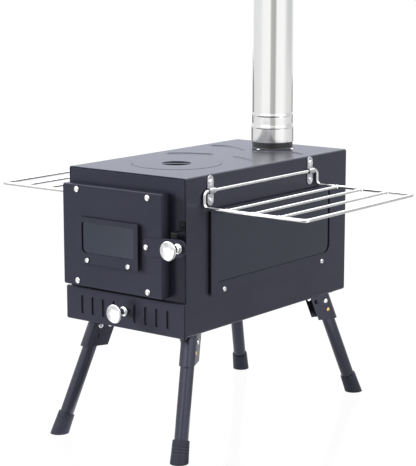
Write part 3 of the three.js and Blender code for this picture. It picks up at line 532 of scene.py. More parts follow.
def carved(mesh, tools, bevel=0.0):
    """The mesh with each tool taken out of it, and its sharp edges rounded."""
    work, *helpers = (placed("work", m) for m in (mesh, *tools))
    for helper in helpers:
        mod = work.modifiers.new("cut", "BOOLEAN")
        mod.operation = "DIFFERENCE"
        mod.solver = "EXACT"
        mod.object = helper
    if bevel:
        rounded(work, bevel)
    bpy.context.view_layer.update()
    depsgraph = bpy.context.evaluated_depsgraph_get()
    made = bpy.data.meshes.new_from_object(work.evaluated_get(depsgraph))
    for obj in (work, *helpers):
        bpy.data.objects.remove(obj)
    return made


def sweep(stations, section, place=None, closed=False):
    """A section carried along stations of (point, sideways, upward)."""
    b = Builder()
    loops = []
    for k, (point, side, up) in enumerate(stations):
        shape = section(k) if callable(section) else section
        loops.append(b.loop(Vector(point) + Vector(side) * u + Vector(up) * v for u, v in shape))
    if closed:
        loops.append(loops[0])
    b.chain(loops)
    if not closed:
        b.fill(loops[0])
        b.fill(loops[-1])
    return b.mesh(place)


def wire_path(corners, bend, steps=8, closed=False):
    """Points and directions along straight runs with a round bend at each corner."""
    made = []
    count = len(corners)
    for i in range(count):
        here = Vector(corners[i])
        if not closed and i in (0, count - 1):
            other = Vector(corners[1] if i == 0 else corners[-2])
            along = (other - here if i == 0 else here - other).normalized()
            made.append((here, along))
            continue
        into = (here - Vector(corners[i - 1])).normalized()
        away = (Vector(corners[(i + 1) % count]) - here).normalized()
        start = here - into * bend
        for k in range(steps + 1):
            a = math.pi / 2 * k / steps
            point = start + into * bend * math.sin(a) + away * bend * (1 - math.cos(a))
            made.append((point, (into * math.cos(a) + away * math.sin(a)).normalized()))
    return made


def carried(path):
    """Stations with a side and an up that turn no more than the path does."""
    up = Vector((0, 0, 1)) if abs(path[0][1].z) < 0.9 else Vector((1, 0, 0))
    made = []
    before = None
    for point, along in path:
        if before is not None:
            up = before.rotation_difference(along) @ up
        side = along.cross(up).normalized()
        up = side.cross(along).normalized()
        made.append((point, side, up))
        before = along
    return made


def wire(corners, radius, closed=False):
    """A round wire along straight runs with a bend at each corner."""
    return sweep(carried(wire_path(corners, RACK_BEND, closed=closed)), ring(radius, 16), closed=closed)


# ---- Body ----

body = span("body_shell")
HALF = body.x1
DEPTH = body.y1
FLUE_Y = span("flue_collar").centre[1]
LID_Y = span("cook_lid").centre[1]


class Glazing:
    """A window in the drawing plane of its wall: its cover's box, its opening and its screws."""

    def __init__(self, width, cover, opening, radius, screws):
        self.half, self.bottom, self.top = width / 2, cover.z0, cover.z1
        self.opening, self.radius, self.screws = opening, radius, screws

    def hole(self, centre=0):
        half, low, high = self.opening
        return Outline(centre - half, centre + half, low, high, (self.radius, self.radius, 2.5, 2.5), 8)


side_cover = span("side_window_cover_right")
door_cover = span("door_window_cover")
side_window = Glazing(side_cover.y1 - side_cover.y0, side_cover,
                      opening=(139.5, 66, 158.5), radius=12, screws=119)
door_window = Glazing(door_cover.x1 - door_cover.x0, door_cover,
                      opening=(46, 99.6, 141.8), radius=7, screws=36.5)
side_centre = side_cover.centre[1]
door_centre_x = door_cover.centre[0]


def sleeve_loop(inset):
    return Outline(-HALF, HALF, 0, BODY_HEIGHT, BODY_BEND, SLEEVE_STEPS).points(inset)


def body_sleeve():
    """The folded sleeve: an outer and an inner skin, joined at both ends and round each hole."""
    b = Builder()
    steps = SLEEVE_STEPS
    flats = {steps: "bottom", 2 * steps + 1: "right", 3 * steps + 2: "top", 4 * steps + 3: "left"}
    window_hole = side_window.hole(side_centre)
    top_holes = [circle(0, LID_Y, LID_HOLE, 16), circle(0, FLUE_Y, FLUE_BORE, 12)]
    holes = {"bottom": [], "right": [window_hole], "left": [window_hole], "top": top_holes}

    def on_flat(flat, points, inset):
        if flat == "top":
            return b.loop((x, y, BODY_HEIGHT - inset) for x, y in points)
        x = (HALF - inset) * (1 if flat == "right" else -1)
        return b.loop((x, y, z) for y, z in points)

    skins = []
    for inset in (0, SHEET):
        outline = sleeve_loop(inset)
        front, back = (b.loop((x, y, z) for x, z in outline) for y in (EDGE, DEPTH - EDGE))
        edges = {}
        for i in range(len(outline)):
            j = (i + 1) % len(outline)
            around = (front[i], front[j], back[j], back[i])
            if i in flats:
                flat = flats[i]
                grow = 0 if inset else -EDGE
                edges[flat] = [on_flat(flat, hole.points(grow), inset) for hole in holes[flat]]
                b.fill(around, edges[flat])
            else:
                b.faces.append(around)
        skins.append((front, back, edges))
    (front_out, back_out, holes_out), (front_in, back_in, holes_in) = skins
    for outer, inner, y in ((front_out, front_in, 0), (back_out, back_in, DEPTH)):
        lip = [b.loop((x, y, z) for x, z in sleeve_loop(i)) for i in (EDGE, SHEET - EDGE)]
        b.chain([outer, *lip, inner])
    for flat, loops in holes_out.items():
        for outer, inner, hole in zip(loops, holes_in[flat], holes[flat]):
            b.chain([outer, on_flat(flat, hole.points(), EDGE), inner])
    return b.mesh()


def rib_path(points, steps=12):
    """A smooth run through the points, with the way across it."""
    made = []
    count = len(points)
    for i in range(count - 1):
        p = [Vector(points[min(max(i + k, 0), count - 1)]) for k in (-1, 0, 1, 2)]
        for k in range(steps + (1 if i == count - 2 else 0)):
            t = k / steps
            point = 0.5 * ((2 * p[1]) + (p[2] - p[0]) * t + (2 * p[0] - 5 * p[1] + 4 * p[2] - p[3]) * t * t
                           + (3 * p[1] - p[0] - 3 * p[2] + p[3]) * t ** 3)
            made.append(point)
    return made


def rib(points):
    """A bead stamped up out of the top sheet, which dies away at its sides and both its ends."""
    line = rib_path(points)
    total = sum((b - a).length for a, b in zip(line, line[1:]))
    run = 0.0
    b = Builder()
    loops = []
    for i, point in enumerate(line):
        if i:
            run += (point - line[i - 1]).length
        along = (line[min(i + 1, len(line) - 1)] - line[max(i - 1, 0)]).normalized()
        across = Vector((-along.y, along.x))
        swell = math.sin(min(run, total - run, RIB_FADE) / RIB_FADE * math.pi / 2)
        rise, wide = RIB_HEIGHT * swell ** 1.5, RIB_WIDTH * (0.45 + 0.55 * swell)
        row = []
        for k in range(13):
            u = k / 6 - 1
            place = point + across * (u * wide / 2)
            row.append((place.x, place.y, BODY_HEIGHT + 0.02 + rise * (0.5 + 0.5 * math.cos(math.pi * u))))
        row += [(x, y, BODY_HEIGHT - 0.2) for x, y, _ in (row[-1], row[0])]
        loops.append(b.loop(row))
    b.chain(loops)
    b.fill(loops[0])
    b.fill(loops[-1])
    return b.mesh()


def lid_ledge():
    """The stepped seat that the lid drops into, pressed down out of the top sheet."""
    top = BODY_HEIGHT - EDGE
    seat = BODY_HEIGHT - 1.95
    profile = [(LID_HOLE, top), (LID_HOLE, seat), (LID_LEDGE, seat), (LID_LEDGE, seat - SHEET),
               (LID_HOLE + SHEET, seat - SHEET), (LID_HOLE + SHEET, top)]
    return turned(softened(profile, 0.5, 3, True), facing_up(0, LID_Y), 96, True)


def end_plate(place, holes=()):
    step = PLATE_STEP
    outer = Outline(-HALF + step, HALF - step, step, BODY_HEIGHT - step, END_CORNER, 8)
    return pan(outer, list(holes), PLATE_RIM, place, bend=1.2)


def make_body():
    lid_arc = [(x, LID_Y + y) for x, y in arc(LID_ARC, 42, 82, 4)]
    flue_run = [(x, FLUE_Y + y) for x, y in ((87, -43.6), (60, -34.6), (38, -40.6), (7, -59.6))]
    ribs = [rib([(side * x, y) for x, y in run]) for run in (lid_arc, flue_run) for side in (1, -1)]
    shell = joined(body_sleeve(), lid_ledge(), *ribs)
    add("body_sleeve", shell, "root", "paint", "body_shell")
    door = span("door_shell")
    doorway = Outline(door.x0 + DOOR_LAP, door.x1 - DOOR_LAP, door.z0 + DOOR_LAP, door.z1 - DOOR_LAP, 8)
    drawer_way = Outline(-94, 94, 3.3, 44, 1.5)
    front = end_plate(facing_front(), [doorway, drawer_way])
    add("front_wall", front, "root", "paint", "front_plate")
    back = end_plate(facing_back(0, DEPTH, 0))
    add("back_wall", back, "root", "paint", "back_plate")


# ---- Glazing ----

def window(name, glazing, place, body_name, wall_node):
    """A cover with two screws, the glass behind it, and packing on three sides of the glass."""
    half, low, high = glazing.half, glazing.bottom, glazing.top
    cover = plate(Outline(-half, half, low, high, 2.5), [glazing.hole()], POCKET, POCKET + SHEET, place)
    heads = [screw(3.5, 1.9, POCKET + 2 * SHEET,
                   place @ facing_up(side * glazing.screws, low + 4.75, POCKET + SHEET)) for side in (-1, 1)]
    add(name, cover, body_name, "paint", wall_node.format("window_cover"))
    add_fasteners(name + "_screws", heads, body_name)
    back, front = GAP, POCKET - GAP
    pane, sill = glazing.opening[0] + PANE_LAP, glazing.opening[1] - PANE_LAP
    glass = plate(Outline(-pane, pane, sill, high - PANE_LAP, 1), [], back, front, place, 0.4)
    add(name + "_pane", glass, body_name, "glass", wall_node.format("glass"))
    side, foot, head = half - 2, low + 2, high - 2
    strips = [
        Outline(-side, -pane - GAP, foot, head, 0.8),
        Outline(pane + GAP, side, foot, head, 0.8),
        Outline(-pane - GAP, pane + GAP, foot, sill - GAP, 0.8),
    ]
    # The packing's near-black colour is partly the fibre's own and partly painted shade for the gap under the
    # cover.
    packing = joined(*[plate(strip, [], back, front, place) for strip in strips])
    add(name + "_packing", packing, body_name, "gasket", wall_node.format("gasket"))


def make_side_windows():
    for side, sign in SIDES:
        place = facing_side(sign, sign * HALF, side_centre)
        window(f"side_frame_{side}", side_window, place, "root", "side_{}_" + side)


# ---- Door ----

def make_door():
    door = span("door_shell")
    outer = Outline(door.x0, door.x1, door.z0, door.z1, 3.2, 6)
    hole = door_window.hole(door_centre_x)
    face = pan(outer, [hole], -DOOR_FACE - 0.6, facing_front(0, DOOR_FACE, 0))
    add("door_pan", face, "door", "paint", "door_shell")
    (mid_x, _, mid_z), (aside, up) = door.centre, DOOR_RIVETS
    heads = [dome(4.2, 2.2, 4, facing_front(mid_x + a * aside, DOOR_FACE, mid_z + u * up))
             for a in (-1, 1) for u in (-1, 1)]
    add_fasteners("door_rivets", heads, "door")
    step = PLATE_STEP
    inner = Outline(door.x0 + step, door.x1 - step, door.z0 + step, door.z1 - step, 2)
    liner = pan(inner, [hole], 6, facing_front(0, DOOR_FACE + step, 0), THIN_SHEET, 1.6)
    add("door_lining", liner, "door", "inside", "door_liner")
    window("door_frame", door_window, facing_front(door_centre_x, DOOR_FACE), "door", "door_{}")


def knob(place, grip):
    """A turned knob: flange, waisted neck and a shallow domed cap."""
    profile = [(0, -grip - 1.75), (3.9, -grip - 1.75), (3.9, -grip - 0.25), (2.5, -grip - 0.25), (2.5, 0),
               (7.15, 0), (7.15, 2.3), (6.4, 3.1), (4.6, 4.2), (3.9, 6.0), (3.9, 15.5), (4.5, 17.6),
               (6.5, 18.6), (11.6, 19.5), (13.0, 20.6), (13.0, 22.0), (11.8, 23.0), (7.0, 23.8), (0, 23.999)]
    return turned(softened(profile, 0.55, 3), place, 56)


def make_latch():
    place = facing_front(LATCH_PIVOT[0], DOOR_FACE, LATCH_PIVOT[1]) @ Matrix.Rotation(LATCH_TILT, 4, "Z")
    half = STRAP_WIDTH / 2
    outline = Outline(-5, LATCH_REACH + half, -half, half, (7, half - 0.01, half - 0.01, 7), 12)
    strap = plate(outline, [], GAP, GAP + 2, place, 0.5)
    add("latch_bar", strap, "latch", "paint", "latch_strap")
    rivet = dome(3.8, 1.8, 7, place @ facing_up(0, 0, 2.5))
    add("latch_pivot_rivet", rivet, "latch", "rivet", "latch_rivet")
    turned_knob = knob(place @ facing_up(LATCH_REACH, 0, 2.5), 2.25)
    add("latch_knob", turned_knob, "latch", "chrome", "door_knob")


def make_keeper():
    """The hook over the strap's end, bent from one strip."""
    keeper = span("latch_keeper")
    x, half = keeper.centre[0], SHEET / 2
    wall, lip, arm = -GAP - half, keeper.y0 + half, keeper.z1 - KEEPER_TAB + half
    corners = [Vector((0, y, z)) for y, z in ((wall, keeper.z1), (wall, arm), (lip, arm), (lip, keeper.z0))]
    across = Vector((1, 0, 0))
    stations = [(point, across, along.cross(across)) for point, along in wire_path(corners, 1.6, 6)]
    width = (keeper.x1 - keeper.x0) / 2
    strip = sweep(stations, Outline(-width, width, -half, half, 0.3, 3).points(), facing_up(x))
    rivet = dome(2.6, 1.3, 3, facing_front(x, -GAP - SHEET, keeper.z1 - 5.75))
    # The hook and its rivet are near-black as painted shade, for the door's shadow they sit in.
    add("keeper_hook", strip, "root", "hook", "latch_keeper")
    add("keeper_rivet", rivet, "root", "hook")


def make_hinges():
    """Each fixed leaf carries the lower knuckle and the pin, and the door's leaf the upper knuckle."""
    for level in ("upper", "lower"):
        fixed, moving = span(f"hinge_leaf_{level}"), span(f"door_hinge_leaf_{level}")
        x, low, high = moving.centre[0], fixed.z0, moving.z1
        middle = (low + high) / 2
        under, over = middle - HINGE_PLAY, middle + HINGE_PLAY
        pin_top = high + GAP
        place, wall = facing_up(x), facing_side(1, x)
        knuckle = turned(softened([(0, low), (3, low), (3, under), (0, under)], 0.4), place, 28)
        pin = [(0, middle - 1), (1.2, middle - 1), (1.2, pin_top),
               (2.1, pin_top), (2.1, high + 1), (0, high + 1.3)]
        leaf = plate(Outline(0.5, 20, low, under, (0.4, 3, 3, 0.4)), [], 1.8, 3, wall)
        heads = [dome(2.2, 1.0, 1, facing_side(-1, x + 1.8, y, (low + middle) / 2)) for y in (9, 15.5)]
        held = joined(knuckle, turned(softened(pin, 0.3), place, 20), leaf)
        add(f"hinge_fixed_{level}", held, "root", "leg", f"hinge_leaf_{level}")
        add_fasteners(f"hinge_rivets_{level}", heads, "root", "zinc")
        sleeve = [(1.45, over), (3, over), (3, high), (1.45, high)]
        upper = turned(softened(sleeve, 0.4, 3, True), place, 28, True)
        wing = plate(Outline(-11.9, -0.5, over, high, (2, 0.4, 0.4, 2)), [], 1.8, 3, wall)
        add(f"hinge_moving_{level}", joined(upper, wing), "door", "leg", f"door_hinge_leaf_{level}")


# ---- Ash drawer ----

def make_drawer():
    front = span("drawer_front")
    half = SLOT_WIDTH / 2
    places = [SLOT_CENTRE + side * (SLOT_FIRST + i * SLOT_PITCH) for side in (-1, 1) for i in range(4)]
    slots = [Outline(x - half, x + half, SLOT_LOW, SLOT_HIGH, half - 0.01, 6) for x in places]
    outer = Outline(front.x0 - DRAWER_LAP, front.x1, front.z0, front.z1, 2.8, 6)
    face = pan(outer, slots, front.y1 - front.y0, facing_front(0, front.y0, 0), bend=1.8)
    add("drawer_pan", face, "drawer", "paint", "drawer_front")
    slide_front = -front.y0 - SHEET - 0.05
    near, far = SLOT_FIRST - 5, SLOT_FIRST + 3 * SLOT_PITCH + 4.5
    slides = [plate(Outline(left + SLOT_CENTRE, right + SLOT_CENTRE, 7.2, 38.0, 1),
                    [], slide_front - 0.8, slide_front, facing_front())
              for left, right in ((-far, -near), (near, far))]
    add("air_slide", joined(*slides), "drawer", "paint")
    pull = knob(facing_front(SLOT_CENTRE, front.y0 - GAP, 23.7), 3.0)
    add("drawer_pull", pull, "drawer", "chrome", "drawer_knob")


# ---- Lid and flue ----

def make_lid():
    lid = span("cook_lid")
    radius, top = lid.x1, lid.z1
    low, cup = top - 2, GRIP_RADIUS + THIN_SHEET
    floor = top - GRIP_DEPTH
    profile = [(0, lid.z0), (cup, lid.z0), (cup, low), (radius, low), (radius, top), (GRIP_RADIUS, top),
               (GRIP_RADIUS, floor), (0, floor)]
    disc = turned(softened(profile, 0.5, 3), facing_up(0, LID_Y), 96)
    turn = facing_up(0, LID_Y) @ Matrix.Rotation(math.radians(GRIP_TURN), 4, "Z")
    long, wide = GRIP_RADIUS + 0.6, GRIP_BAR / 2
    bar = plate(Outline(-long, long, -wide, wide, 0.3, 2), [], top - 2.6, top - 0.15, turn, 0.5)
    add("hob_lid", joined(disc, bar), "lid", "paint", "cook_lid")


def make_flue():
    collar, pipe = span("flue_collar"), span("pipe_section")
    place = facing_up(0, FLUE_Y)
    base = collar.z0
    profile = [(FLUE_BORE, base), (42, base), (42, base + 1.5), (32.5, base + 1.5), (30.5, base + 3.2),
               (30.5, collar.z1), (FLUE_BORE, collar.z1)]
    neck = turned(softened(profile, 0.2, 3, True), place, 72, True)
    add("flue_neck", neck, "root", "collar", "flue_collar")
    heads = [dome(3.5, 1.9, 3, facing_up(x, FLUE_Y + y, base + SHEET)) for x, y in ring(RIVET_RING, 4)]
    add_fasteners("flue_rivets", heads, "root")
    rest = collar.z1 + GAP
    low, top = pipe.z0, pipe.z1
    outer = [(31.4, low), (31.4, rest - 2.4), (31.65, rest - 1.2), (31.3, rest + 0.6), (30.65, rest + 3.0),
             (30.4, rest + 5.0), (30.4, rest + 15.2), (30.8, rest + 16.6), (30.75, rest + 17.8),
             (30.3, rest + 19.4), (30.0, rest + 20.6), (30.0, top - 0.001)]
    inner = [(29.4, top - 0.001), (29.4, rest + 20.2), (29.8, rest + 18), (29.8, rest + 4), (30.8, rest),
             (30.8, low)]
    tube = turned(softened(outer + inner, 0.28, 2, True), place, 96, True)
    add("stovepipe", tube, "pipe", "pipe", "pipe_section")


# ---- Side racks ----

def clip(side_sign, y):
    """A flat strip screwed to the wall, which arches out over the rack's rod."""
    rod_x, half = HALF + ROD_OUT, CLIP_WIDTH / 2
    middle = HALF + GAP + THIN_SHEET / 2
    arch = WIRE + 0.4 + THIN_SHEET / 2
    top, bottom = ROD_Z + CLIP_RISE, ROD_Z - CLIP_FALL
    bow = math.sqrt(arch ** 2 - (middle - rod_x) ** 2) + CLIP_BEND
    line = [(middle, top - (top - ROD_Z - bow) * (1 - math.cos(a))) for a in quarter(8)]
    start = math.degrees(math.acos((middle - rod_x) / arch))
    line += [(x, ROD_Z + z) for x, z in arc(arch, start, -start, 16, rod_x)[1:-1]]
    line += [(middle, bottom + (ROD_Z - bow - bottom) * (1 - math.sin(a))) for a in quarter(8)]
    stations, widths = [], []
    for i, (x, z) in enumerate(line):
        before, after = line[max(i - 1, 0)], line[min(i + 1, len(line) - 1)]
        along = Vector((after[0] - before[0], 0, after[1] - before[1])).normalized()
        stations.append(((x, 0, z), (0, 1, 0), along.cross(Vector((0, 1, 0)))))
        end = min(top - z, z - bottom, half)
        widths.append(math.sqrt(max(half ** 2 - (half - end) ** 2, 0.09)))
    thick = THIN_SHEET / 2

    def section(k):
        return Outline(-widths[k], widths[k], -thick, thick, 0.28, 2).points()

    face = HALF + GAP + THIN_SHEET
    heads = [screw(4.25, 2.4, 3, facing_side(1, face, 0, ROD_Z + up)) for up in CLIP_SCREWS]
    place = facing_up(0, y) @ Matrix.Rotation(0 if side_sign > 0 else math.pi, 4, "Z")
    return transformed(sweep(stations, section), place), transformed(joined(*heads), place)


def fillet(at, radius, along, reach=1.6):
    """The small collar of weld where a bar meets the frame."""
    steps = ((-0.3, 0), (1.1, 0), (0.45, 0.35), (0.12, 0.7), (-0.3, 1))
    profile = [(radius + out, reach * up) for out, up in steps]
    return turned(profile, basis((1, 0, 0), (0, 0, -along), (0, along, 0), at), 16, True)


def make_racks():
    for side, sign in SIDES:
        rack = span(f"{side}_rack")
        wide = rack.x1 if sign > 0 else -rack.x0
        outside = wide - WIRE - 0.001
        near, far = rack.y0 + WIRE, rack.y1 - WIRE
        rod_x = HALF + ROD_OUT
        corners = [(rod_x, near, ROD_Z), (rod_x, near, RACK_LOW_Z), (outside, near, RACK_LOW_Z),
                   (outside, far, RACK_LOW_Z), (rod_x, far, RACK_LOW_Z), (rod_x, far, ROD_Z)]
        parts = [wire(corners, WIRE, closed=True)]
        for k in (1, 2, 3):
            x = outside - k * BAR_PITCH
            parts.append(wire([(x, near, RACK_LOW_Z), (x, far, RACK_LOW_Z)], BAR_WIRE))
            parts.append(fillet((x, near + WIRE - 0.25, RACK_LOW_Z), BAR_WIRE, 1))
            parts.append(fillet((x, far - WIRE + 0.25, RACK_LOW_Z), BAR_WIRE, -1))
        mesh = joined(*parts)
        if sign < 0:
            mesh.transform(facing_up(0, near + far) @ Matrix.Rotation(math.pi, 4, "Z"))
        add(f"wire_rack_{side}", mesh, f"rack_{side}", "wire", f"{side}_rack", 60)
        for end in ("front", "rear"):
            node_name = f"rack_clip_{side}_{end}"
            strip, heads = clip(sign, span(node_name).centre[1])
            add(f"saddle_{side}_{end}", strip, "root", "zinc", node_name)
            add(f"saddle_screws_{side}_{end}", heads, "root", "rivet")


# ---- Legs ----

def leg_place(right, back):
    turn = math.atan2(back * math.sin(LEG_PLAN), right * math.cos(LEG_PLAN))
    y = DEPTH - PIVOT[1] if back > 0 else PIVOT[1]
    return facing_up(right * PIVOT[0], y, PIVOT[2]) @ Matrix.Rotation(turn, 4, "Z")


LEAN = Matrix.Rotation(-LEG_SPLAY, 4, "Y")
ACROSS = basis((1, 0, 0), (0, 0, 1), (0, -1, 0))


def cylinder(radius, low, high, place, sides=32):
    return turned([(0, low), (radius, low), (radius, high), (0, high)], place, sides)


def bracket_mesh():
    """A U channel that leans with the leg, cut level, under its base plate, with pivot and lock holes."""
    inner, outer = CHANNEL, CHANNEL + THIN_SHEET
    section = [(-BRACKET_DEPTH, -outer), *arc(outer, -90, 90, 18, BRACKET_BACK), (-BRACKET_DEPTH, outer)]
    section += [(-BRACKET_DEPTH, inner), *arc(inner, 90, -90, 18, BRACKET_BACK), (-BRACKET_DEPTH, -inner)]
    b = Builder()
    ends = [b.loop((x, y, z) for x, y in section) for z in (-2 * BRACKET_DROP, 2 * BRACKET_DEPTH)]
    b.bridge(*ends)
    b.fill(ends[0])
    b.fill(ends[1])
    top = -PIVOT[2] - GAP
    across = Outline(-90, 90, -40, 40, 1)
    tools = [
        plate(across, [], top - SHEET + 0.4, top + 60, None, 0.05),
        plate(across, [], -90, -BRACKET_DROP, None, 0.05),
        cylinder(PIVOT_HOLE, -20, 20, ACROSS),
        cylinder(LOCK_HOLE, -20, 20, LEAN @ facing_up(0, 0, -BUTTON_DROP) @ ACROSS),
        cylinder(LOCK_HOLE, -20, 20, facing_up(-BUTTON_DROP) @ ACROSS),
    ]
    base = plate(Outline(-46, 14, -outer, outer, 3), [], top - SHEET, top, None)
    return joined(carved(b.mesh(LEAN), tools, 0.22), base)


def foot_mesh():
    """A flared rubber cap with moulded rings, its sole cut level with the ground."""
    end = -LEG_LENGTH
    top, low, seat = end + 30, end - 12, end + 11.75
    profile = [(0, low), (12.75, low), (12.5, end + 1)]
    for k in range(3):
        z = end + 12 + k * 4.0
        wide = 12.5 - (z - end) / 30
        groove = wide - 0.18
        profile += [(wide, z - 0.9), (groove, z - 0.4), (groove, z + 0.4), (wide, z + 0.9)]
    profile += [(11.5, top), (9.75, top), (9.75, seat), (0, seat)]
    cap = turned(softened(profile, 0.6, 2), LEAN, 48)
    ground = end * math.cos(LEG_SPLAY) + 0.01
    work = bmesh.new()
    work.from_mesh(cap)
    everything = [*work.verts, *work.edges, *work.faces]
    cut = bmesh.ops.bisect_plane(work, geom=everything, plane_co=(0, 0, ground), plane_no=(0, 0, -1),
                                 clear_outer=True)
    rim = [e for e in cut["geom_cut"] if isinstance(e, bmesh.types.BMEdge)]
    bmesh.ops.holes_fill(work, edges=rim)
    work.to_mesh(cap)
    work.free()
    return cap


def tube_profile():
    end = -LEG_LENGTH + 12
    bore = LEG_RADIUS - SHEET
    return arc(bore, 90, 0, 8) + [(bore, end), (LEG_RADIUS, end)] + arc(LEG_RADIUS, 0, 90, 10)


def make_legs():
    face = CHANNEL + THIN_SHEET + GAP
    end = [(2.5, face), (3.6, face), (3.6, face + 0.4), (3.4, face + 1.3), (2.6, face + 1.9), (0, face + 1.9)]
    bolt = [(radius, -z) for radius, z in reversed(end)] + end
    button = [(0, 5), (3.2, 5), (3.2, 9.9), (2.9, 10.9), (2.1, 11.5), (0, 11.8)]
    for name, (right, back) in LEGS.items():
        place = leg_place(right, back)
        outboard = -right * back
        lock = LEAN @ facing_up(0, 0, -BUTTON_DROP)
        outward = lock @ Matrix.Rotation(-outboard * math.pi / 2, 4, "X")
        bracket = transformed(bracket_mesh(), place)
        add(f"bracket_{name}", bracket, "root", "leg", f"leg_bracket_{name}")
        flip = Matrix.Rotation(math.pi, 4, "X")
        heads = [dome(3.2, 1.2, 2.5, place @ facing_up(x, 0, -PIVOT[2] - GAP - SHEET) @ flip)
                 for x in (-20, -38)]
        add_fasteners(f"bracket_rivets_{name}", heads, "root", "zinc")
        pivot = turned(softened(bolt, 0.25, 2), place @ ACROSS, 28)
        add(f"bolt_{name}", pivot, "root", "rivet", f"pivot_bolt_{name}")
        tools = [cylinder(PIVOT_HOLE, -20, 20, LEAN @ ACROSS), cylinder(3.45, 0, 20, outward)]
        tube = carved(turned(tube_profile(), LEAN, 48), tools, 0.2)
        add(f"leg_{name}", transformed(tube, place), f"leg_{name}", "leg", f"leg_tube_{name}")
        add(f"boot_{name}", transformed(foot_mesh(), place), f"leg_{name}", "rubber", f"foot_cap_{name}")
        stud = turned(softened(button, 0.3, 2), place @ outward, 28)
        spring = plate(Outline(-2.5, 2.5, -22, 3.2, 1), [], 4.7, 5.3,
                       place @ lock @ basis((-outboard, 0, 0), (0, 0, 1), (0, outboard, 0)), 0.15)
        add(f"button_{name}", joined(stud, spring), f"button_{name}", "brass", f"snap_button_{name}")


# ---- Pieces of the frame that stay, with their edges rounded ----

def keep(node_name, finish_name, bevel=0.3):
    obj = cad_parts[node_name]
    obj.data.materials.clear()
    obj.data.materials.append(MATERIALS[finish_name])
    rounded(obj, bevel * MM)
    obj.data.shade_smooth()
    obj.data.set_sharp_from_angle(angle=math.radians(35))


# ---- Stage, light and camera ----

# What shiny surfaces see of the sky and of the floor near to the stove and far from it: degrees round
# the object from the camera's direction, left negative, then the grey, and the blue for each part of grey
SKY = [
    (-180, 1.08, 1.16), (-150, 0.95, 1.05), (-128, 0.78, 1.01), (-105, 0.84, 1.02), (-74, 0.90, 1.02),
    (-58, 1.04, 1), (-19, 1.02, 1), (-12, 0.50, 1), (12, 0.46, 1), (19, 1.04, 1), (60, 1.08, 1),
    (78, 0.86, 1.01), (90, 0.66, 1.02), (112, 0.64, 1.02), (135, 0.72, 1.01), (155, 0.95, 1.05),
    (180, 1.08, 1.16),
]
NEAR_FLOOR = [
    (-180, 0.80, 1.05), (-130, 0.60, 1.02), (-100, 0.62, 1.02), (-76, 1.00, 1.02), (-58, 2.10, 1),
    (-34, 0.60, 1), (-12, 0.40, 1), (12, 0.40, 1), (30, 0.60, 1), (54, 2.30, 1), (72, 0.80, 1.01),
    (90, 0.60, 1.02), (115, 0.60, 1.02), (140, 0.70, 1.02), (180, 0.80, 1.05),
]
FAR_FLOOR = [
    (-180, 0.05, 1), (-152, 0.15, 1), (-136, 0.76, 1), (-105, 0.84, 1), (-74, 0.92, 1), (-58, 1.04, 1),
    (-19, 1.02, 1), (-12, 0.50, 1), (12, 0.46, 1), (19, 1.04, 1), (60, 1.08, 1), (78, 0.90, 1),
    (95, 0.78, 1), (120, 0.74, 1), (136, 0.72, 1), (152, 0.15, 1), (180, 0.05, 1),
]


def surround(tree, coordinates, levels):
    """The surround's colour in the direction that the coordinates point in."""
    turn = node(tree, "Mapping", {"Vector": coordinates, "Rotation": (0, 0, -CAMERA_YAW)})["Vector"]
    split = node(tree, "SeparateXYZ", {"Vector": turn})
    away = arithmetic(tree, "MULTIPLY", split["Y"], -1)
    angle = arithmetic(tree, "ARCTAN2", split["X"], away)
    part = arithmetic(tree, "MULTIPLY_ADD", angle, 0.5 / math.pi, 0.5)
    ramp = tree.nodes.new("ShaderNodeValToRGB")
    points = ramp.color_ramp.elements
    while len(points) < len(levels):
        points.new(0.5)
    for point, (degrees, level, blue) in zip(points, levels):
        point.position = 0.5 + degrees / 360
        point.color = (level, level * (0.8 + 0.2 * blue), level * blue, 1)
    tree.links.new(part, ramp.inputs["Fac"])
    return ramp.outputs["Color"]


def make_stage():
    """A glossy floor that glows: white to the camera, and by direction to shiny surfaces."""
    drop = span("foot_cap_front_left").z0
    b = Builder()
    corners = ((-1, -1), (1, -1), (1, 1), (-1, 1))
    b.faces.append(tuple(b.loop((x * FLOOR_HALF, y * FLOOR_HALF, drop) for x, y in corners)))
    floor = placed("floor", to_row(b.mesh()))
    mat, tree, bsdf = shader("glossy_white_floor")
    for key, value in FLOOR_FINISH.items():
        feed(tree, value, bsdf.inputs[key])
    ray = node(tree, "LightPath", {})
    place = node(tree, "TexCoord", {})["Object"]
    reach = node(tree, "VectorMath", {0: place}, operation="LENGTH")["Value"]
    far = ranged(tree, reach, 0, 1, FAR_FLOOR_FROM)
    around = mixed(tree, far, surround(tree, place, NEAR_FLOOR), surround(tree, place, FAR_FLOOR))
    glow = node(tree, "Emission", {"Color": mixed(tree, ray["Is Glossy Ray"], grey(FLOOR_GLOW), around)})
    seen = arithmetic(tree, "MULTIPLY", ray["Is Camera Ray"], FLOOR_SHARE)
    share = arithmetic(tree, "MAXIMUM", seen, ray["Is Glossy Ray"])
    surface = node(tree, "MixShader", {0: share, 1: bsdf.outputs["BSDF"], 2: glow["Emission"]})["Shader"]
    tree.links.new(surface, tree.nodes["Material Output"].inputs["Surface"])
    floor.data.materials.append(mat)


# Softboxes: place, width and height in metres of the row frame, and power
LIGHT_TARGET = (0, 0, 0.25)
SOFTBOXES = [
    ("left_softbox", (-2.0, -1.1, 0.75), (0.7, 1.2), 66),
    ("right_softbox", (2.2, 0.25, 0.9), (0.9, 1.2), 27),
    ("top_softbox", (-0.3, -0.2, 2.3), (1.0, 1.0), 10),
]
SKY_LEVEL = 0.10
FLOOR_GLOW = 1.16
FAR_FLOOR_FROM = (1.9, 2.6)
FLOOR_SHARE = 0.80
OVERHEAD = 3.2
OVERHEAD_FROM = (0.28, 0.62)
FLOOR_HALF = 6000
FLOOR_FINISH = {"Base Color": grey(0.45), "Roughness": 0.12, "Specular IOR Level": 0.35}


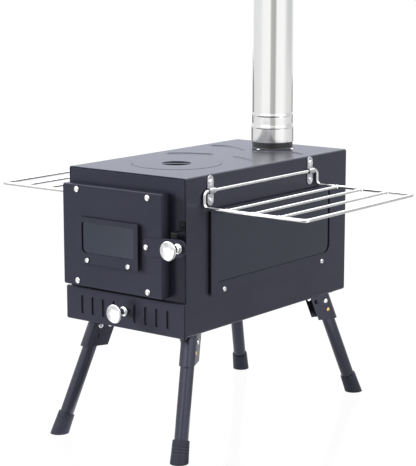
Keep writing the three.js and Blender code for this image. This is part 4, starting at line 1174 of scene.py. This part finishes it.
def make_light():
    """A sky that is faint to matt surfaces, graded to shiny ones and white to the camera, and softboxes."""
    world = bpy.data.worlds.new("studio")
    bpy.context.scene.world = world
    world.use_nodes = True
    tree = world.node_tree
    faint = tree.nodes["Background"]
    faint.inputs["Color"].default_value = grey(1)
    faint.inputs["Strength"].default_value = SKY_LEVEL
    place = node(tree, "TexCoord", {})["Generated"]
    height = node(tree, "SeparateXYZ", {"Vector": place})["Z"]
    overhead = ranged(tree, height, 1.0, OVERHEAD, OVERHEAD_FROM)
    graded = node(tree, "Background", {"Color": surround(tree, place, SKY), "Strength": overhead})
    white = node(tree, "Background", {"Color": grey(1), "Strength": 1.0})
    ray = node(tree, "LightPath", {})
    sky = node(tree, "MixShader", {
        0: ray["Is Glossy Ray"], 1: faint.outputs["Background"], 2: graded["Background"],
    })
    shown = node(tree, "MixShader", {0: ray["Is Camera Ray"], 1: sky["Shader"], 2: white["Background"]})
    tree.links.new(shown["Shader"], tree.nodes["World Output"].inputs["Surface"])
    for name, at, size, power in SOFTBOXES:
        lamp = bpy.data.lights.new(name, "AREA")
        lamp.shape = "RECTANGLE"
        lamp.size, lamp.size_y, lamp.energy = *size, power
        box = placed(name, lamp)
        box.location = at
        box.rotation_euler = (Vector(LIGHT_TARGET) - box.location).to_track_quat("-Z", "Y").to_euler()
        box.visible_glossy = False


def make_camera():
    data = bpy.data.cameras.new("camera")
    data.sensor_fit = "AUTO"
    data.sensor_width = 36.0
    data.lens = FOCAL_PX * data.sensor_width / max(PHOTO)
    data.clip_start, data.clip_end = 0.05, 50
    cam = placed("camera", data)
    cam.location = [(CAMERA_AT[i] + ORIGIN[i]) * MM for i in range(3)]
    cam.rotation_euler = (math.pi / 2 - CAMERA_PITCH, 0, CAMERA_YAW)
    bpy.context.scene.camera = cam


make_camera()
make_light()
make_stage()
make_body()
make_side_windows()
make_door()
make_latch()
make_keeper()
make_hinges()
make_drawer()
make_lid()
make_flue()
make_racks()
make_legs()
for kept_name in ("grate_rail_right", "grate_rail_left", "ash_tray"):
    keep(kept_name, "inside")
keep("fire_grate", "iron", 0.5)

bpy.context.scene.view_settings.view_transform = "Standard"


bpy.context.view_layer.update()
